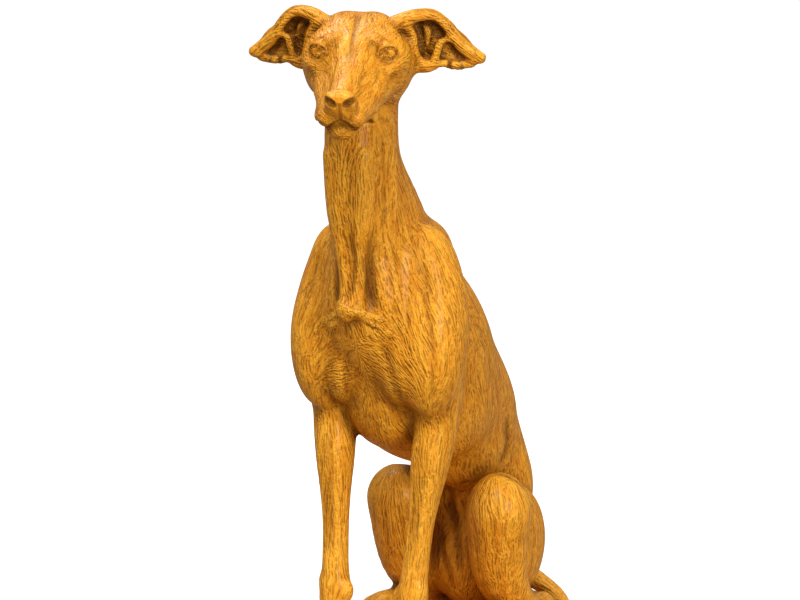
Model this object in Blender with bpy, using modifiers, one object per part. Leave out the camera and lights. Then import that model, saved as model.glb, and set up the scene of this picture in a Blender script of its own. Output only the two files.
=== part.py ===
"""Seated italian greyhound carved from one block of wood together with its low base.

Metres, +Z up. The dog looks along -Y and its left side is at +X. The origin is the
centre of the underside of the base.

The figure is modelled like clay: every bone and muscle is one egg or one oval limb, a
field melts them into each other, and a few gouge strokes cut the folds. The lumps are
fused with a voxel remesh, the fused skin is drawn onto the melted field, and a decimate
turns it into carved facets. The base is a bevelled slab joined with a Boolean.
"""

import math

import bmesh
import bpy
import numpy as np
from mathutils import Euler, Matrix, Vector

# Driving dimensions
FIGURE_HEIGHT = 0.392  # top of the base to the top of the ears
BASE_THICKNESS = 0.014
BASE_MARGIN = 0.012  # from the feet and tail to the edge of the base
BASE_EDGE_BEVEL = 0.0025
PAW_SINK = 0.0015  # how deep the carved feet run into the base

# How finely the form is worked
CLAY_VOXEL = 0.0018
FACET_COUNT = 8600
MELT_STEPS = 7
DISC_SEGMENTS = 32
LUMP_SWELL = 0.25

# The figure's own proportions are given in parts of its height, of which there are this many
FIGURE_PARTS = 392.0
UNIT = FIGURE_HEIGHT / FIGURE_PARTS
GROUND = -8.0  # height of the top of the base in the figure's own parts

# Discs of ground under the feet, rump and tail, in parts: x, y, radius
STANDS = (
    (-32, -85, 14),
    (32, -85, 14),
    (-42, 25, 16),
    (58, 4, 15),
    (66, 68, 7),
    (34, 114, 9),
    (-8, 98, 12),
)

# Head: where the skull sits, and how it is turned, tipped down and tilted, in degrees
HEAD_CENTRE = (-0.5, -85.0, 360.6)
HEAD_TURN = 18.0
HEAD_NOD = 12.0
HEAD_TILT = 1.5

# The hips are turned, so that the left knee is nearer the front
HIP_PIVOT = (6.0, 38.0, 0.0)
HIP_TURN = -14.0

# Finish
WOOD_COLOUR = (0.56, 0.27, 0.05, 1.0)
WOOD_ROUGHNESS = 0.38


def rotation(degrees):
    """3x3 array of a turn about X, then Y, then Z."""
    return np.array(Euler([math.radians(d) for d in degrees], "XYZ").to_matrix())


def smooth_path(stations, pieces):
    """Stations joined by a Catmull-Rom spline, with this many short pieces to each gap."""
    rows = np.asarray(stations, float)
    padded = np.vstack([2 * rows[0] - rows[1], rows, 2 * rows[-1] - rows[-2]])
    out = []
    for i in range(len(rows) - 1):
        a, b, c, d = padded[i : i + 4]
        for t in np.arange(pieces) / pieces:
            out.append(
                0.5
                * (
                    2 * b
                    + (c - a) * t
                    + (2 * a - 5 * b + 4 * c - d) * t**2
                    + (3 * b - a - 3 * c + d) * t**3
                )
            )
    out.append(rows[-1])
    return np.array(out)


def smooth_min(first, second, blend):
    """The nearer of two distances, with the corner between them filled over the blend."""
    gap = np.maximum(blend - np.abs(first - second), 0.0) / blend
    return np.minimum(first, second) - gap * gap * blend * 0.25


class Egg:
    """A muscle or bone: centre, three half-axes, a turn in degrees, and how far it blends."""

    def __init__(self, centre, radii, turn=(0, 0, 0), blend=6.0):
        self.centre = np.array(centre, float)
        self.radii = np.array(radii, float)
        self.axes = rotation(turn)
        self.blend = blend

    def placed(self, axes, centre):
        out = Egg(self.centre, self.radii, blend=self.blend)
        out.centre = axes @ self.centre + centre
        out.axes = axes @ self.axes
        return out

    def mirrored(self):
        out = Egg(self.centre * (-1, 1, 1), self.radii, blend=self.blend)
        flip = np.diag((-1.0, 1.0, 1.0))
        out.axes = flip @ self.axes @ flip
        return out

    def box(self):
        reach = np.abs(self.axes) @ self.radii
        return self.centre - reach, self.centre + reach

    def distance(self, points):
        local = (points - self.centre) @ self.axes / self.radii
        near = np.sqrt((local**2).sum(1)) + 1e-9
        slope = np.sqrt(((local / self.radii) ** 2).sum(1)) + 1e-9
        return near * (near - 1.0) / slope

    def lumps(self):
        yield self.centre, self.axes, self.radii


class Limb:
    """An oval tube. Its stations are x, y, z, half-width along the side vector, half-depth."""

    def __init__(self, stations, side=(1, 0, 0), blend=5.0, pieces=3):
        self.rows = smooth_path(stations, pieces)
        self.side = np.array(side, float) / np.linalg.norm(side)
        self.blend = blend

    def placed(self, axes, centre):
        out = Limb(self.rows, self.side, self.blend, 1)
        out.rows[:, :3] = self.rows[:, :3] @ axes.T + centre
        out.side = axes @ self.side
        return out

    def mirrored(self):
        out = Limb(self.rows, self.side, self.blend, 1)
        out.rows[:, 0] *= -1
        out.side = self.side * (-1, 1, 1)
        return out

    def box(self):
        reach = self.rows[:, 3:5].max(1)[:, None]
        return (self.rows[:, :3] - reach).min(0), (self.rows[:, :3] + reach).max(0)

    def distance(self, points):
        best = np.full(len(points), 1e3)
        for start, end in zip(self.rows[:-1], self.rows[1:]):
            run = end[:3] - start[:3]
            share = np.clip((points - start[:3]) @ run / (run @ run), 0, 1)[:, None]
            row = start + share * (end - start)
            offset = points - row[:, :3]
            across = offset @ self.side
            rest = np.maximum((offset**2).sum(1) - across**2, 0.0)
            wide, deep = row[:, 3], row[:, 4]
            near = np.sqrt((across / wide) ** 2 + rest / deep**2) + 1e-9
            slope = np.sqrt((across / wide**2) ** 2 + rest / deep**4) + 1e-9
            best = np.minimum(best, near * (near - 1.0) / slope)
        return best

    def lumps(self):
        for start, end in zip(self.rows[:-1], self.rows[1:]):
            along = (end - start)[:3]
            length = np.linalg.norm(along)
            count = max(1, int(length / (0.45 * min(start[3:5].min(), end[3:5].min()))))
            third = np.cross(self.side, along / length)
            third /= np.linalg.norm(third)
            axes = np.column_stack([self.side, third, np.cross(self.side, third)])
            for share in np.arange(count + 1) / count:
                row = start + share * (end - start)
                yield row[:3], axes, np.array([row[3], row[4], row[4]])


class Stroke:
    """A gouge cut along a line, or a ridge where the depth is negative, fading at its ends."""

    def __init__(self, points, width, depth, sharp=2.0, pieces=4):
        self.rows = smooth_path(points, pieces)
        self.width = width
        self.depth = depth
        self.sharp = sharp

    def placed(self, axes, centre):
        return Stroke(self.rows @ axes.T + centre, self.width, self.depth, self.sharp, 1)

    def mirrored(self):
        return Stroke(self.rows * (-1, 1, 1), self.width, self.depth, self.sharp, 1)

    def box(self):
        return self.rows.min(0) - self.width, self.rows.max(0) + self.width

    def relief(self, points):
        best = np.full(len(points), 1e3)
        place = np.zeros(len(points))
        count = len(self.rows) - 1
        for i in range(count):
            run = self.rows[i + 1] - self.rows[i]
            share = np.clip((points - self.rows[i]) @ run / (run @ run), 0, 1)
            gap = np.sqrt(((points - self.rows[i] - share[:, None] * run) ** 2).sum(1))
            nearer = gap < best
            best = np.where(nearer, gap, best)
            place = np.where(nearer, (i + share) / count, place)
        fade = np.clip(4.0 * np.minimum(place, 1.0 - place) + 0.15, 0, 1)
        return self.depth * fade * np.clip(1.0 - best / self.width, 0, 1) ** self.sharp


def both(*forms):
    """Each form and its mirror image on the dog's other side."""
    return [one for form in forms for one in (form, form.mirrored())]


def torso():
    return [
        Egg((0, 0, 172), (45, 50, 86), (39, 0, 0), 10),
        Egg((0, -66, 207), (31, 28, 40), (8, 0, 0), 14),
        Egg((0, -42, 155), (29, 27, 36), (14, 0, 0), 22),
        Egg((8, -20, 236), (20, 26, 22), (0, 0, 0), 12),
        Egg((1, 6, 137), (38, 42, 30.5), (0, 0, 0), 14),
        Egg((3, 56, 130), (37, 32, 52), (35, 0, 0), 22),
        Egg((5, 84, 76), (37, 30, 50), (10, 0, 0), 18),
        Egg((5, 50, 106), (28, 28, 24), (0, 0, 0), 14),
        Egg((6, 74, 30), (28, 30, 34), (0, 0, 0), 10),
    ]


def neck():
    forms = [
        Limb(
            [
                (0, -50, 230, 30, 44),
                (0, -61, 256, 24, 38),
                (-1, -71, 274, 22, 34),
                (-1, -78, 292, 20.5, 29),
                (-0.7, -81, 310, 19.8, 27),
                (-0.5, -80, 335, 19.5, 26),
                (-0.5, -78, 350, 19.5, 25),
            ],
            blend=10,
        ),
    ]
    # The two strap muscles that run down the front of the throat to the breastbone
    forms += both(
        Limb(
            [
                (10, -101, 300, 4, 4),
                (8.5, -99.5, 276, 4.5, 4.5),
                (6.5, -96.5, 252, 5, 5),
                (4.5, -94.5, 230, 5, 5),
                (3, -96.5, 213, 3.8, 4.5),
            ],
            blend=6,
        )
    )
    forms += [Egg((-3, -98, 211), (5.5, 5.5, 6), (0, 0, 0), 4)]
    return forms


def shoulders():
    return both(
        Egg((29, -51, 221), (18.5, 23, 36), (10, 0, -6), 9),
        Egg((34.5, -58, 191), (20.5, 25, 45), (-8, 0, 0), 9),
        Egg((34, -44, 160), (13, 16, 24), (-16, 0, 0), 8),
    )


def paw(across, forward, spread_heel):
    """A foot with four toes: its side position, how far forward its heel pad is, and its heel."""
    forms = []
    for place, reach in ((-8.4, 12), (-2.9, 17), (2.9, 17), (8.4, 12)):
        forms.append(
            Limb(
                [
                    (across + 0.75 * place, forward, GROUND + 9, 3.8, 4.8),
                    (across + place, forward - 0.5 * reach, GROUND + 9.5, 3.6, 4.6),
                    (across + place * 1.04, forward - reach, GROUND + 5, 3.4, 4.4),
                ],
                blend=1.5,
            )
        )
    heel = Egg((across, forward + 1, GROUND + 8.5), (11.5, spread_heel, 8.5), blend=4)
    return both(heel, *forms)


def forelegs():
    forms = both(
        Limb(
            [
                (34, -48, 154, 12.5, 16),
                (33, -50, 135, 12.3, 15.5),
                (31, -54, 117, 11.3, 14.2),
                (29, -58, 95, 8.8, 11.2),
                (27.5, -61, 77, 7.6, 9.5),
                (26, -65, 52, 7.8, 8.8),
                (25.3, -67, 38, 9.4, 9.4),
                (24.8, -69, 26, 9.0, 8.6),
                (24.5, -71, 13, 8.2, 7.6),
                (24.3, -74, 3, 8.6, 8.0),
            ],
            blend=5,
        ),
        Egg((35.5, -37.5, 147), (6.5, 7, 9), (-20, 0, 0), 5),
    )
    return forms + paw(24.3, -78, 14)


def hind_legs():
    forms = both(
        Egg((28, 62, 44), (16.5, 36, 38), (4, 0, 5), 7),
        Egg((39.5, 35, 70), (18.5, 20, 21), (0, 0, 0), 7),
        Limb(
            [
                (39.5, 34, 70, 19, 18),
                (38.5, 35, 50, 19, 17),
                (38.5, 40, 28, 17, 14),
                (39, 52, 12, 14, 11),
                (38, 70, 4, 10, 9),
                (37, 84, 1, 7, 7.5),
            ],
            blend=6,
        ),
        Limb(
            [
                (37, 88, 0, 7, 7.5),
                (38, 66, 0, 9, 8),
                (40, 42, 1, 11, 9),
                (41, 22, 0, 11.5, 8),
            ],
            blend=5,
        ),
    )
    forms += paw(41, 22, 12)
    # The left knee stands a little higher
    forms.append(Egg((39.5, 34, 77), (16, 17, 18.5), (0, 0, 0), 7))
    pivot = np.array(HIP_PIVOT)
    turn = rotation((0, 0, HIP_TURN))
    return [form.placed(turn, pivot - turn @ (0, pivot[1], 0)) for form in forms]


def tail():
    return [
        Limb(
            [
                (6, 100, 28, 9, 9),
                (16, 114, 16, 8, 8),
                (32, 117, 6, 6.6, 6.6),
                (50, 108, 0, 5.4, 5.4),
                (63, 90, -3, 4.8, 4.8),
                (68, 68, -3.5, 4.2, 4.2),
                (66, 48, -3.8, 3.6, 3.6),
                (60, 34, -4, 2.8, 2.8),
            ],
            blend=5,
        )
    ]


def skull():
    forms = [
        Egg((0, 7, -2.5), (27, 34, 20.5), (0, 0, 0), 6),
        Egg((0, -16, 1), (20, 21, 12.5), (10, 0, 0), 8),
        Limb(
            [
                (0, -20, -3, 17.5, 12),
                (0, -38, -6.5, 12, 11),
                (0, -58, -9.5, 9.4, 9.8),
                (0, -74, -12, 8.4, 8.4),
                (0, -81, -12.5, 7.6, 7),
            ],
            blend=7,
        ),
        Limb(
            [
                (0, -6, -20, 17, 10),
                (0, -38, -24, 11.5, 8),
                (0, -66, -26.2, 8.6, 5.8),
                (0, -72, -26.6, 7.4, 5.2),
            ],
            blend=3,
        ),
        Egg((0, -83.5, -9.2), (8.6, 6.4, 7.4), (8, 0, 0), 1.6),
        Egg((0, 4, -18), (17, 22, 13), (0, 0, 0), 8),
    ]
    forms += both(
        Egg((8.5, 2, 2.5), (15, 24, 17.2), (0, 0, 0), 4),
        Limb(
            [
                (17, -14, -13, 9, 11),
                (13, -36, -15, 8.2, 9.6),
                (9.8, -54, -17.5, 7.2, 8.2),
                (8.2, -68, -18.4, 6.8, 6.8),
                (6, -77, -18.2, 5.8, 5.6),
            ],
            blend=6,
        ),
        Egg((21, -13, -4), (9, 18, 8.5), (0, 0, -14), 6),
        Egg((16.5, -13.5, 2), (11.5, 14.5, 10.5), (0, 0, -6), 6),
        Egg((18.5, 2, -12), (12.5, 22, 16), (0, 0, 0), 8),
        Egg((18.3, -23.8, 4.0), (6, 6, 6), (0, 0, 0), 1),
        Egg((14, -24, 10.6), (7, 4.2, 3.2), (0, 12, -20), 3),
        Egg((21.5, -24.5, -3.2), (6, 3.8, 2.6), (0, 14, 24), 3),
        Egg((7, -77, -19.4), (6.4, 8, 5.4), (0, 0, 10), 3),
        Egg((15.2, -51, -25.5), (3.6, 6, 4.4), (0, 0, 8), 4),
    )
    return forms


def ear(side, spread):
    """One ear swept out sideways, hollow side forward: side is 1 for the left and -1 for the right."""
    s = spread
    forms = [
        Limb(
            [
                (21, 3, 14, 5, 5),
                (30 * s, 5, 18.0, 4, 4),
                (40 * s, 8, 18.5, 3.5, 3.4),
                (47.5 * s, 9, 13, 3.4, 3.2),
                (55 * s, 10, 2.8, 3.6, 3.2),
                (63 * s, 12, -4.2, 3.8, 3.2),
                (68 * s, 12, -7, 3.2, 2.8),
            ],
            side=(0.5, 0, 1),
            blend=2,
        ),
        Egg((38 * s, 14, 3), (17 * s, 3.2, 16), (0, 12, 8), 3),
        Egg((51 * s, 14, -2.5), (14 * s, 3, 11), (0, 42, 4), 3),
        Limb(
            [
                (24, 4, -15, 4.5, 4.5),
                (31 * s, 6, -12.5, 3.0, 3.0),
                (38.5 * s, 7, -12.3, 2.6, 2.6),
                (46 * s, 8.5, -9.6, 2.2, 2.2),
                (54 * s, 10, -10.8, 2.4, 2.4),
                (62 * s, 12, -10, 3, 2.6),
            ],
            blend=3,
        ),
        Egg((25, 9, -2), (9, 8, 16), (0, 0, 0), 4),
    ]
    return forms if side > 0 else [form.mirrored() for form in forms]


def face_strokes():
    """The mouth, and the groove between the brows."""
    return both(
        Stroke([(0, -84, -20), (5, -82, -23), (9.5, -76, -25.5), (13, -66, -26.4), (16, -52, -27)], 2.6, 1.7)
    ) + [Stroke([(0, 6, 20), (0, -8, 19), (0, -30, 9), (0, -52, 1)], 3.6, 1.5)]


def strokes():
    """The folds of the body that show from a step away."""
    hollows = both(
        Stroke([(14, -96, 258), (11.5, -96, 240), (12.5, -96, 224), (15.5, -94.5, 210)], 8, 3.0),
        Stroke([(17, -90, 192), (19.5, -84, 172), (21, -76, 156)], 6, 1.8),
        Stroke([(32, -66, 140), (30, -68, 110), (28, -70, 80), (26, -72, 54)], 4.5, 1.2),
    )
    ridges = both(Stroke([(2, -98, 208), (12, -95, 202), (26, -89, 197)], 4, -2.2))
    return hollows + ridges


def figure():
    """Every form of the figure in parts, and the gouge strokes, with the head in its place."""
    turn = rotation((0, 0, HEAD_TURN)) @ rotation((HEAD_NOD, 0, 0)) @ rotation((0, HEAD_TILT, 0))
    centre = np.array(HEAD_CENTRE)
    head = [form.placed(turn, centre) for form in skull() + ear(1, 1.02) + ear(-1, 0.92)]
    cuts = strokes() + [cut.placed(turn, centre) for cut in face_strokes()]
    forms = torso() + neck() + shoulders() + forelegs() + hind_legs() + tail() + head
    return forms, cuts


def field(points, forms, cuts):
    """Distance from each point to the melted surface, below zero inside, all in parts."""
    value = np.full(len(points), 40.0)
    for form in forms:
        low, high = form.box()
        reach = form.blend + 8.0
        near = ((points > low - reach) & (points < high + reach)).all(1)
        if near.any():
            value[near] = smooth_min(value[near], form.distance(points[near]), form.blend)
    for cut in cuts:
        low, high = cut.box()
        near = ((points > low) & (points < high)).all(1)
        if near.any():
            value[near] += cut.relief(points[near])
    return value


def melt(points, forms, cuts, steps):
    """Draws loose points onto the melted surface along its slope."""
    probes = np.array([(1, -1, -1), (-1, -1, 1), (-1, 1, -1), (1, 1, 1)], float)
    spacing = 0.15
    for _ in range(steps):
        samples = [field(points + spacing * probe, forms, cuts) for probe in probes]
        slope = sum(s[:, None] * probe for s, probe in zip(samples, probes)) / (4 * spacing)
        value = sum(samples) / 4
        steep = np.maximum((slope**2).sum(1), 0.1)
        move = np.clip(value / steep, -2.0, 2.0)[:, None] * slope
        points = points - move
    return points


def clear_scene():
    for item in list(bpy.data.objects):
        bpy.data.objects.remove(item)


def object_from(mesh_builder, name):
    mesh = bpy.data.meshes.new(name)
    mesh_builder.to_mesh(mesh)
    mesh_builder.free()
    return bpy.data.objects.new(name, mesh)


def evaluated_mesh(item):
    """A new mesh with the object's modifiers applied."""
    graph = bpy.context.evaluated_depsgraph_get()
    return bpy.data.meshes.new_from_object(item.evaluated_get(graph))


def clay_lumps(forms):
    """One closed ball for every lump of every form, all in one loose object."""
    builder = bmesh.new()
    bmesh.ops.create_uvsphere(builder, u_segments=18, v_segments=12, radius=1.0)
    ball = np.array([vert.co[:] for vert in builder.verts])
    faces = [[vert.index for vert in face.verts] for face in builder.faces]
    builder.free()
    points, polygons = [], []
    for form in forms:
        for centre, axes, radii in form.lumps():
            first = len(points) * len(ball)
            points.append((ball * (radii + LUMP_SWELL)) @ axes.T + centre)
            polygons += [[first + corner for corner in face] for face in faces]
    mesh = bpy.data.meshes.new("clay")
    mesh.from_pydata(np.concatenate(points).tolist(), [], polygons)
    return bpy.data.objects.new("clay", mesh)


def relax(points, edges, amount):
    """Evens out the spacing of points by moving each towards the middle of its neighbours."""
    total = np.zeros_like(points)
    count = np.zeros(len(points))
    for one, other in ((0, 1), (1, 0)):
        np.add.at(total, edges[:, one], points[edges[:, other]])
        np.add.at(count, edges[:, one], 1)
    return points + amount * (total / count[:, None] - points)


def melted_skin(forms, cuts, voxel):
    """The figure's fused and melted skin as a mesh, in parts."""
    clay = clay_lumps(forms)
    bpy.context.scene.collection.objects.link(clay)
    fuse = clay.modifiers.new("fuse", "REMESH")
    fuse.mode = "VOXEL"
    fuse.voxel_size = voxel
    skin = evaluated_mesh(clay)
    bpy.data.objects.remove(clay)
    points = np.empty(len(skin.vertices) * 3)
    skin.vertices.foreach_get("co", points)
    points = points.reshape(-1, 3)
    edges = np.empty(len(skin.edges) * 2, np.int64)
    skin.edges.foreach_get("vertices", edges)
    edges = edges.reshape(-1, 2)
    points = melt(points, forms, cuts, MELT_STEPS)
    for _ in range(2):
        points = relax(points, edges, 0.6)
        points = melt(points, forms, cuts, 2)
    skin.vertices.foreach_set("co", points.ravel())
    skin.update()
    return skin


def ground_middle():
    """Middle of the rectangle round the base's discs, in parts."""
    discs = np.array(STANDS)
    reach = discs[:, 2:]
    return 0.5 * ((discs[:, :2] - reach).min(0) + (discs[:, :2] + reach).max(0))


def base_slab():
    """The low base: a hull round the discs under the feet, with a small bevel round its rims."""
    middle = ground_middle()
    builder = bmesh.new()
    for x, y, radius in STANDS:
        rim_radius = radius * UNIT + BASE_MARGIN
        spot = Vector(((x - middle[0]) * UNIT, (y - middle[1]) * UNIT, BASE_THICKNESS / 2))
        bmesh.ops.create_cone(
            builder,
            segments=DISC_SEGMENTS,
            radius1=rim_radius,
            radius2=rim_radius,
            depth=BASE_THICKNESS,
            matrix=Matrix.Translation(spot),
        )
    hull = bmesh.ops.convex_hull(builder, input=builder.verts)
    loose = [v for v in hull["geom_interior"] + hull["geom_unused"] if isinstance(v, bmesh.types.BMVert)]
    bmesh.ops.delete(builder, geom=list(set(loose)), context="VERTS")
    flat = math.radians(1.0)
    bmesh.ops.dissolve_limit(builder, angle_limit=flat, verts=builder.verts, edges=builder.edges)
    slab = object_from(builder, "base_slab")
    rim = slab.modifiers.new("rim", "BEVEL")
    rim.width = BASE_EDGE_BEVEL
    rim.segments = 2
    rim.limit_method = "ANGLE"
    rim.angle_limit = math.radians(60)
    return slab


def wood():
    material = bpy.data.materials.new("carved_wood")
    material.use_nodes = True
    shader = material.node_tree.nodes["Principled BSDF"]
    shader.inputs["Base Color"].default_value = WOOD_COLOUR
    shader.inputs["Roughness"].default_value = WOOD_ROUGHNESS
    shader.inputs["Metallic"].default_value = 0.0
    return material


def place_figure(skin):
    """Scales the figure from parts to metres and stands it on the base, centred on it."""
    middle = ground_middle() * UNIT
    lift = BASE_THICKNESS - PAW_SINK - GROUND * UNIT
    skin.transform(Matrix.Translation((-middle[0], -middle[1], lift)) @ Matrix.Scale(UNIT, 4))


def build():
    clear_scene()
    parts = bpy.data.collections.new("italian_greyhound_statuette")
    tools = bpy.data.collections.new("tools")
    for collection in (parts, tools):
        bpy.context.scene.collection.children.link(collection)
    forms, cuts = figure()
    skin = melted_skin(forms, cuts, CLAY_VOXEL / UNIT)
    place_figure(skin)
    hound = bpy.data.objects.new("greyhound", skin)
    parts.objects.link(hound)
    facets = hound.modifiers.new("facets", "DECIMATE")
    skin.calc_loop_triangles()
    facets.ratio = FACET_COUNT / len(skin.loop_triangles)
    facets.use_collapse_triangulate = True
    slab = base_slab()
    slab.hide_render = True
    slab.display_type = "WIRE"
    tools.objects.link(slab)
    join = hound.modifiers.new("join_base", "BOOLEAN")
    join.operation = "UNION"
    join.object = slab
    join.solver = "EXACT"
    skin.materials.append(wood())
    return hound


if __name__ == "__main__":
    build()
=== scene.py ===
"""Seated italian greyhound carved from one block of honey-coloured wood, with its low base.

Run it as a script, or open it in Blender's text editor: it adds a panel in the 3D view's
sidebar with one button for the hound, one for its base and one for the stage.

The hound is modelled like clay. Every bone, muscle and fold is an egg or an oval limb, a
field melts them into each other, and gouge strokes cut the folds. The lumps are fused with
a voxel remesh, the face, ears and chest are subdivided, and the skin is drawn onto the field.
"""

import math

import bmesh
import bpy
import numpy as np
from bpy.props import FloatProperty, FloatVectorProperty, PointerProperty
from mathutils import Euler, Matrix, Vector


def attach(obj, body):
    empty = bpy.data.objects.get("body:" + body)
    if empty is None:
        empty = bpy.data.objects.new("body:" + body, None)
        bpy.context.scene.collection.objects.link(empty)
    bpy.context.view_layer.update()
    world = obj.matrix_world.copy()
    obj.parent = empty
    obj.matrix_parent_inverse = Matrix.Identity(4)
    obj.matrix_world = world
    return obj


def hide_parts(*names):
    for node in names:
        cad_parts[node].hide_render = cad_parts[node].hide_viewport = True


bl_info = {
    "name": "Carved Hound",
    "version": (1, 0, 0),
    "blender": (4, 5, 0),
    "location": "3D View > Sidebar > Carved Hound",
    "description": "Builds a seated greyhound carved in wood, its hair strokes and its low base",
    "category": "Object",
}

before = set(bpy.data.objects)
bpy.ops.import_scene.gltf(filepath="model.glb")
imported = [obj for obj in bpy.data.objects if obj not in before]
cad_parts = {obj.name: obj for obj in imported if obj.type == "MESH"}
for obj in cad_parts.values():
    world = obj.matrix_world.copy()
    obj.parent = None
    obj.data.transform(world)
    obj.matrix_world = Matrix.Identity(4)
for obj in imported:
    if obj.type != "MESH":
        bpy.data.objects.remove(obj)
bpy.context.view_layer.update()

# The figure is given in parts, about a millimetre each, from the top of the base
FIGURE_PARTS = 392.0
GROUND = -8.0
PAW_SINK = 1.5
LUMP_SWELL = 0.25
DISC_SEGMENTS = 48

# Painted shade in the folds: how far out the skin is probed, and what narrow strokes add below a depth
NEAR_PROBE = 1.5
WIDE_PROBE = 7.0
WIDEST_LINE = 3.0  # wider strokes shape the body and add none
SHADE_FROM_DEPTH = 0.3
SHADE_PER_DEPTH = 0.42

# Discs of ground under the feet, rump and tail, in parts: x, y, radius
STANDS = (
    (-32, -85, 14),
    (32, -85, 14),
    (-42, 25, 16),
    (58, 4, 15),
    (66, 68, 7),
    (34, 114, 9),
    (-8, 98, 12),
)

# Head: where the skull sits, and how it is turned, tipped down and tilted, in degrees
HEAD_CENTRE = (-0.5, -85.0, 360.6)
HEAD_TURN = 18.0
HEAD_NOD = 12.0
HEAD_TILT = 1.5

# The hips are turned, so that the left knee is nearer the front
HIP_PIVOT = (6.0, 38.0, 0.0)
HIP_TURN = -14.0

# Each ear: 1 for the left or -1 for the right, and how far it is spread, beside the plain one
EARS = ((1, 1.02), (-1, 0.92))

# Toes: how far each stands from the middle of the foot, and how far it reaches forward
TOES = ((-8.4, 12), (-2.9, 17), (2.9, 17), (8.4, 12))

# Heel pads of the left feet: across and forward
FORE_FOOT = (24.3, -78.0)
HIND_FOOT = (41, 22)

# Left eye in the head's own axes: ball centre, ball radius, and which way it looks
EYE_CENTRE = np.array((18.3, -23.8, 4.0))
EYE_RADIUS = 6.0
EYE_OUTWARD = np.array((0.42, -0.89, 0.16))
EYE_GAZE = np.array((0.13, -0.985, 0.1))
IRIS_RADIUS = 2.5
LID_REACH = 5.6  # from the middle of the eye to its corners

# Spots where the skin is subdivided: centre in parts, radius, how many times
FINE_HEAD = (
    ((0, -52, -10), 40, 1),
    ((0, -14, 6), 30, 1),
    ((45, 9, 3), 27, 1),
    ((-42, 9, 3), 26, 1),
    ((18, -27, 5), 12, 3),
    ((-18, -27, 5), 12, 3),
    ((0, -82, -16), 18, 2),
    ((0, -89, -10), 9, 3),
)
FINE_BODY = (
    ((2, -98, 226), 32, 1),
    ((24.3, -86, 0), 17, 1),
    ((-24.3, -86, 0), 17, 1),
)

# Base: the size of its fused cells, its worn rim and its gouge marks, in metres
BASE_CELL = 0.0016
BASE_RIM = 0.0025
GOUGE_DEPTH = 0.00016
GOUGE_FADE = 0.004  # above the ground

# Carved hair: waves to the metre and metres to a stroke, for fine strokes and for broad ones
FINE_HAIR = (880.0, 0.0115)
BROAD_HAIR = (290.0, 0.028)
HAIR_SWAY = 1.3
HAIR_SAMPLES = 17  # places along a stroke whose noise is averaged

# Where the camera looks, in metres, and from how far, how far round and how high
CAMERA_TARGET = (0.0022, -0.062, 0.2322)
CAMERA_DISTANCE = 1.4
CAMERA_AZIMUTH = 24.0
CAMERA_ELEVATION = 8.0
CAMERA_LENS = 106.8

# One broad key light from above the camera, and the light of the room, in degrees and strengths
KEY_AZIMUTH = 8.0
KEY_HEIGHT = 54.0
KEY_SOFTNESS = 32.0
KEY_STRENGTH = 3.1
ROOM_LIGHT = 0.46
GLOSSY_ROOM = 0.3  # share of the room's light that shows in reflections

# Soft lamps: name, place in metres, watts and size
SOFT_LAMPS = (
    ("fill", (1.6, -0.9, 0.7), 24, 0.8),
    ("top", (-0.6, 0.3, 1.6), 9, 0.6),
)
LAMP_AIM = (0, -0.05, 0.25)
FLOOR_REACH = 30.0


def rotation(degrees):
    """3x3 array of a turn about X, then Y, then Z."""
    return np.array(Euler([math.radians(d) for d in degrees], "XYZ").to_matrix())


def smooth_path(stations, pieces):
    """Stations joined by a Catmull-Rom spline, with this many short pieces to each gap."""
    rows = np.asarray(stations, float)
    padded = np.vstack([2 * rows[0] - rows[1], rows, 2 * rows[-1] - rows[-2]])
    out = []
    for i in range(len(rows) - 1):
        a, b, c, d = padded[i : i + 4]
        for t in np.arange(pieces) / pieces:
            out.append(
                0.5
                * (
                    2 * b
                    + (c - a) * t
                    + (2 * a - 5 * b + 4 * c - d) * t**2
                    + (3 * b - a - 3 * c + d) * t**3
                )
            )
    out.append(rows[-1])
    return np.array(out)


def smooth_min(first, second, blend):
    """The nearer of two distances, with the corner between them filled over the blend."""
    gap = np.maximum(blend - np.abs(first - second), 0.0) / blend
    return np.minimum(first, second) - gap * gap * blend * 0.25


class Egg:
    """A muscle or bone: centre, three half-axes, a turn in degrees, and how far it blends."""

    def __init__(self, centre, radii, turn=(0, 0, 0), blend=6.0):
        self.centre = np.array(centre, float)
        self.radii = np.array(radii, float)
        self.axes = rotation(turn)
        self.blend = blend
        self.reach = blend + 8.0

    def change(self, value, points):
        return smooth_min(value, self.distance(points), self.blend)

    def placed(self, axes, centre):
        out = Egg(self.centre, self.radii, blend=self.blend)
        out.centre = axes @ self.centre + centre
        out.axes = axes @ self.axes
        return out

    def mirrored(self):
        out = Egg(self.centre * (-1, 1, 1), self.radii, blend=self.blend)
        flip = np.diag((-1.0, 1.0, 1.0))
        out.axes = flip @ self.axes @ flip
        return out

    def box(self):
        reach = np.abs(self.axes) @ self.radii
        return self.centre - reach, self.centre + reach

    def distance(self, points):
        local = (points - self.centre) @ self.axes / self.radii
        near = np.sqrt((local**2).sum(1)) + 1e-9
        slope = np.sqrt(((local / self.radii) ** 2).sum(1)) + 1e-9
        return near * (near - 1.0) / slope

    def lumps(self):
        yield self.centre, self.axes, self.radii


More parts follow.
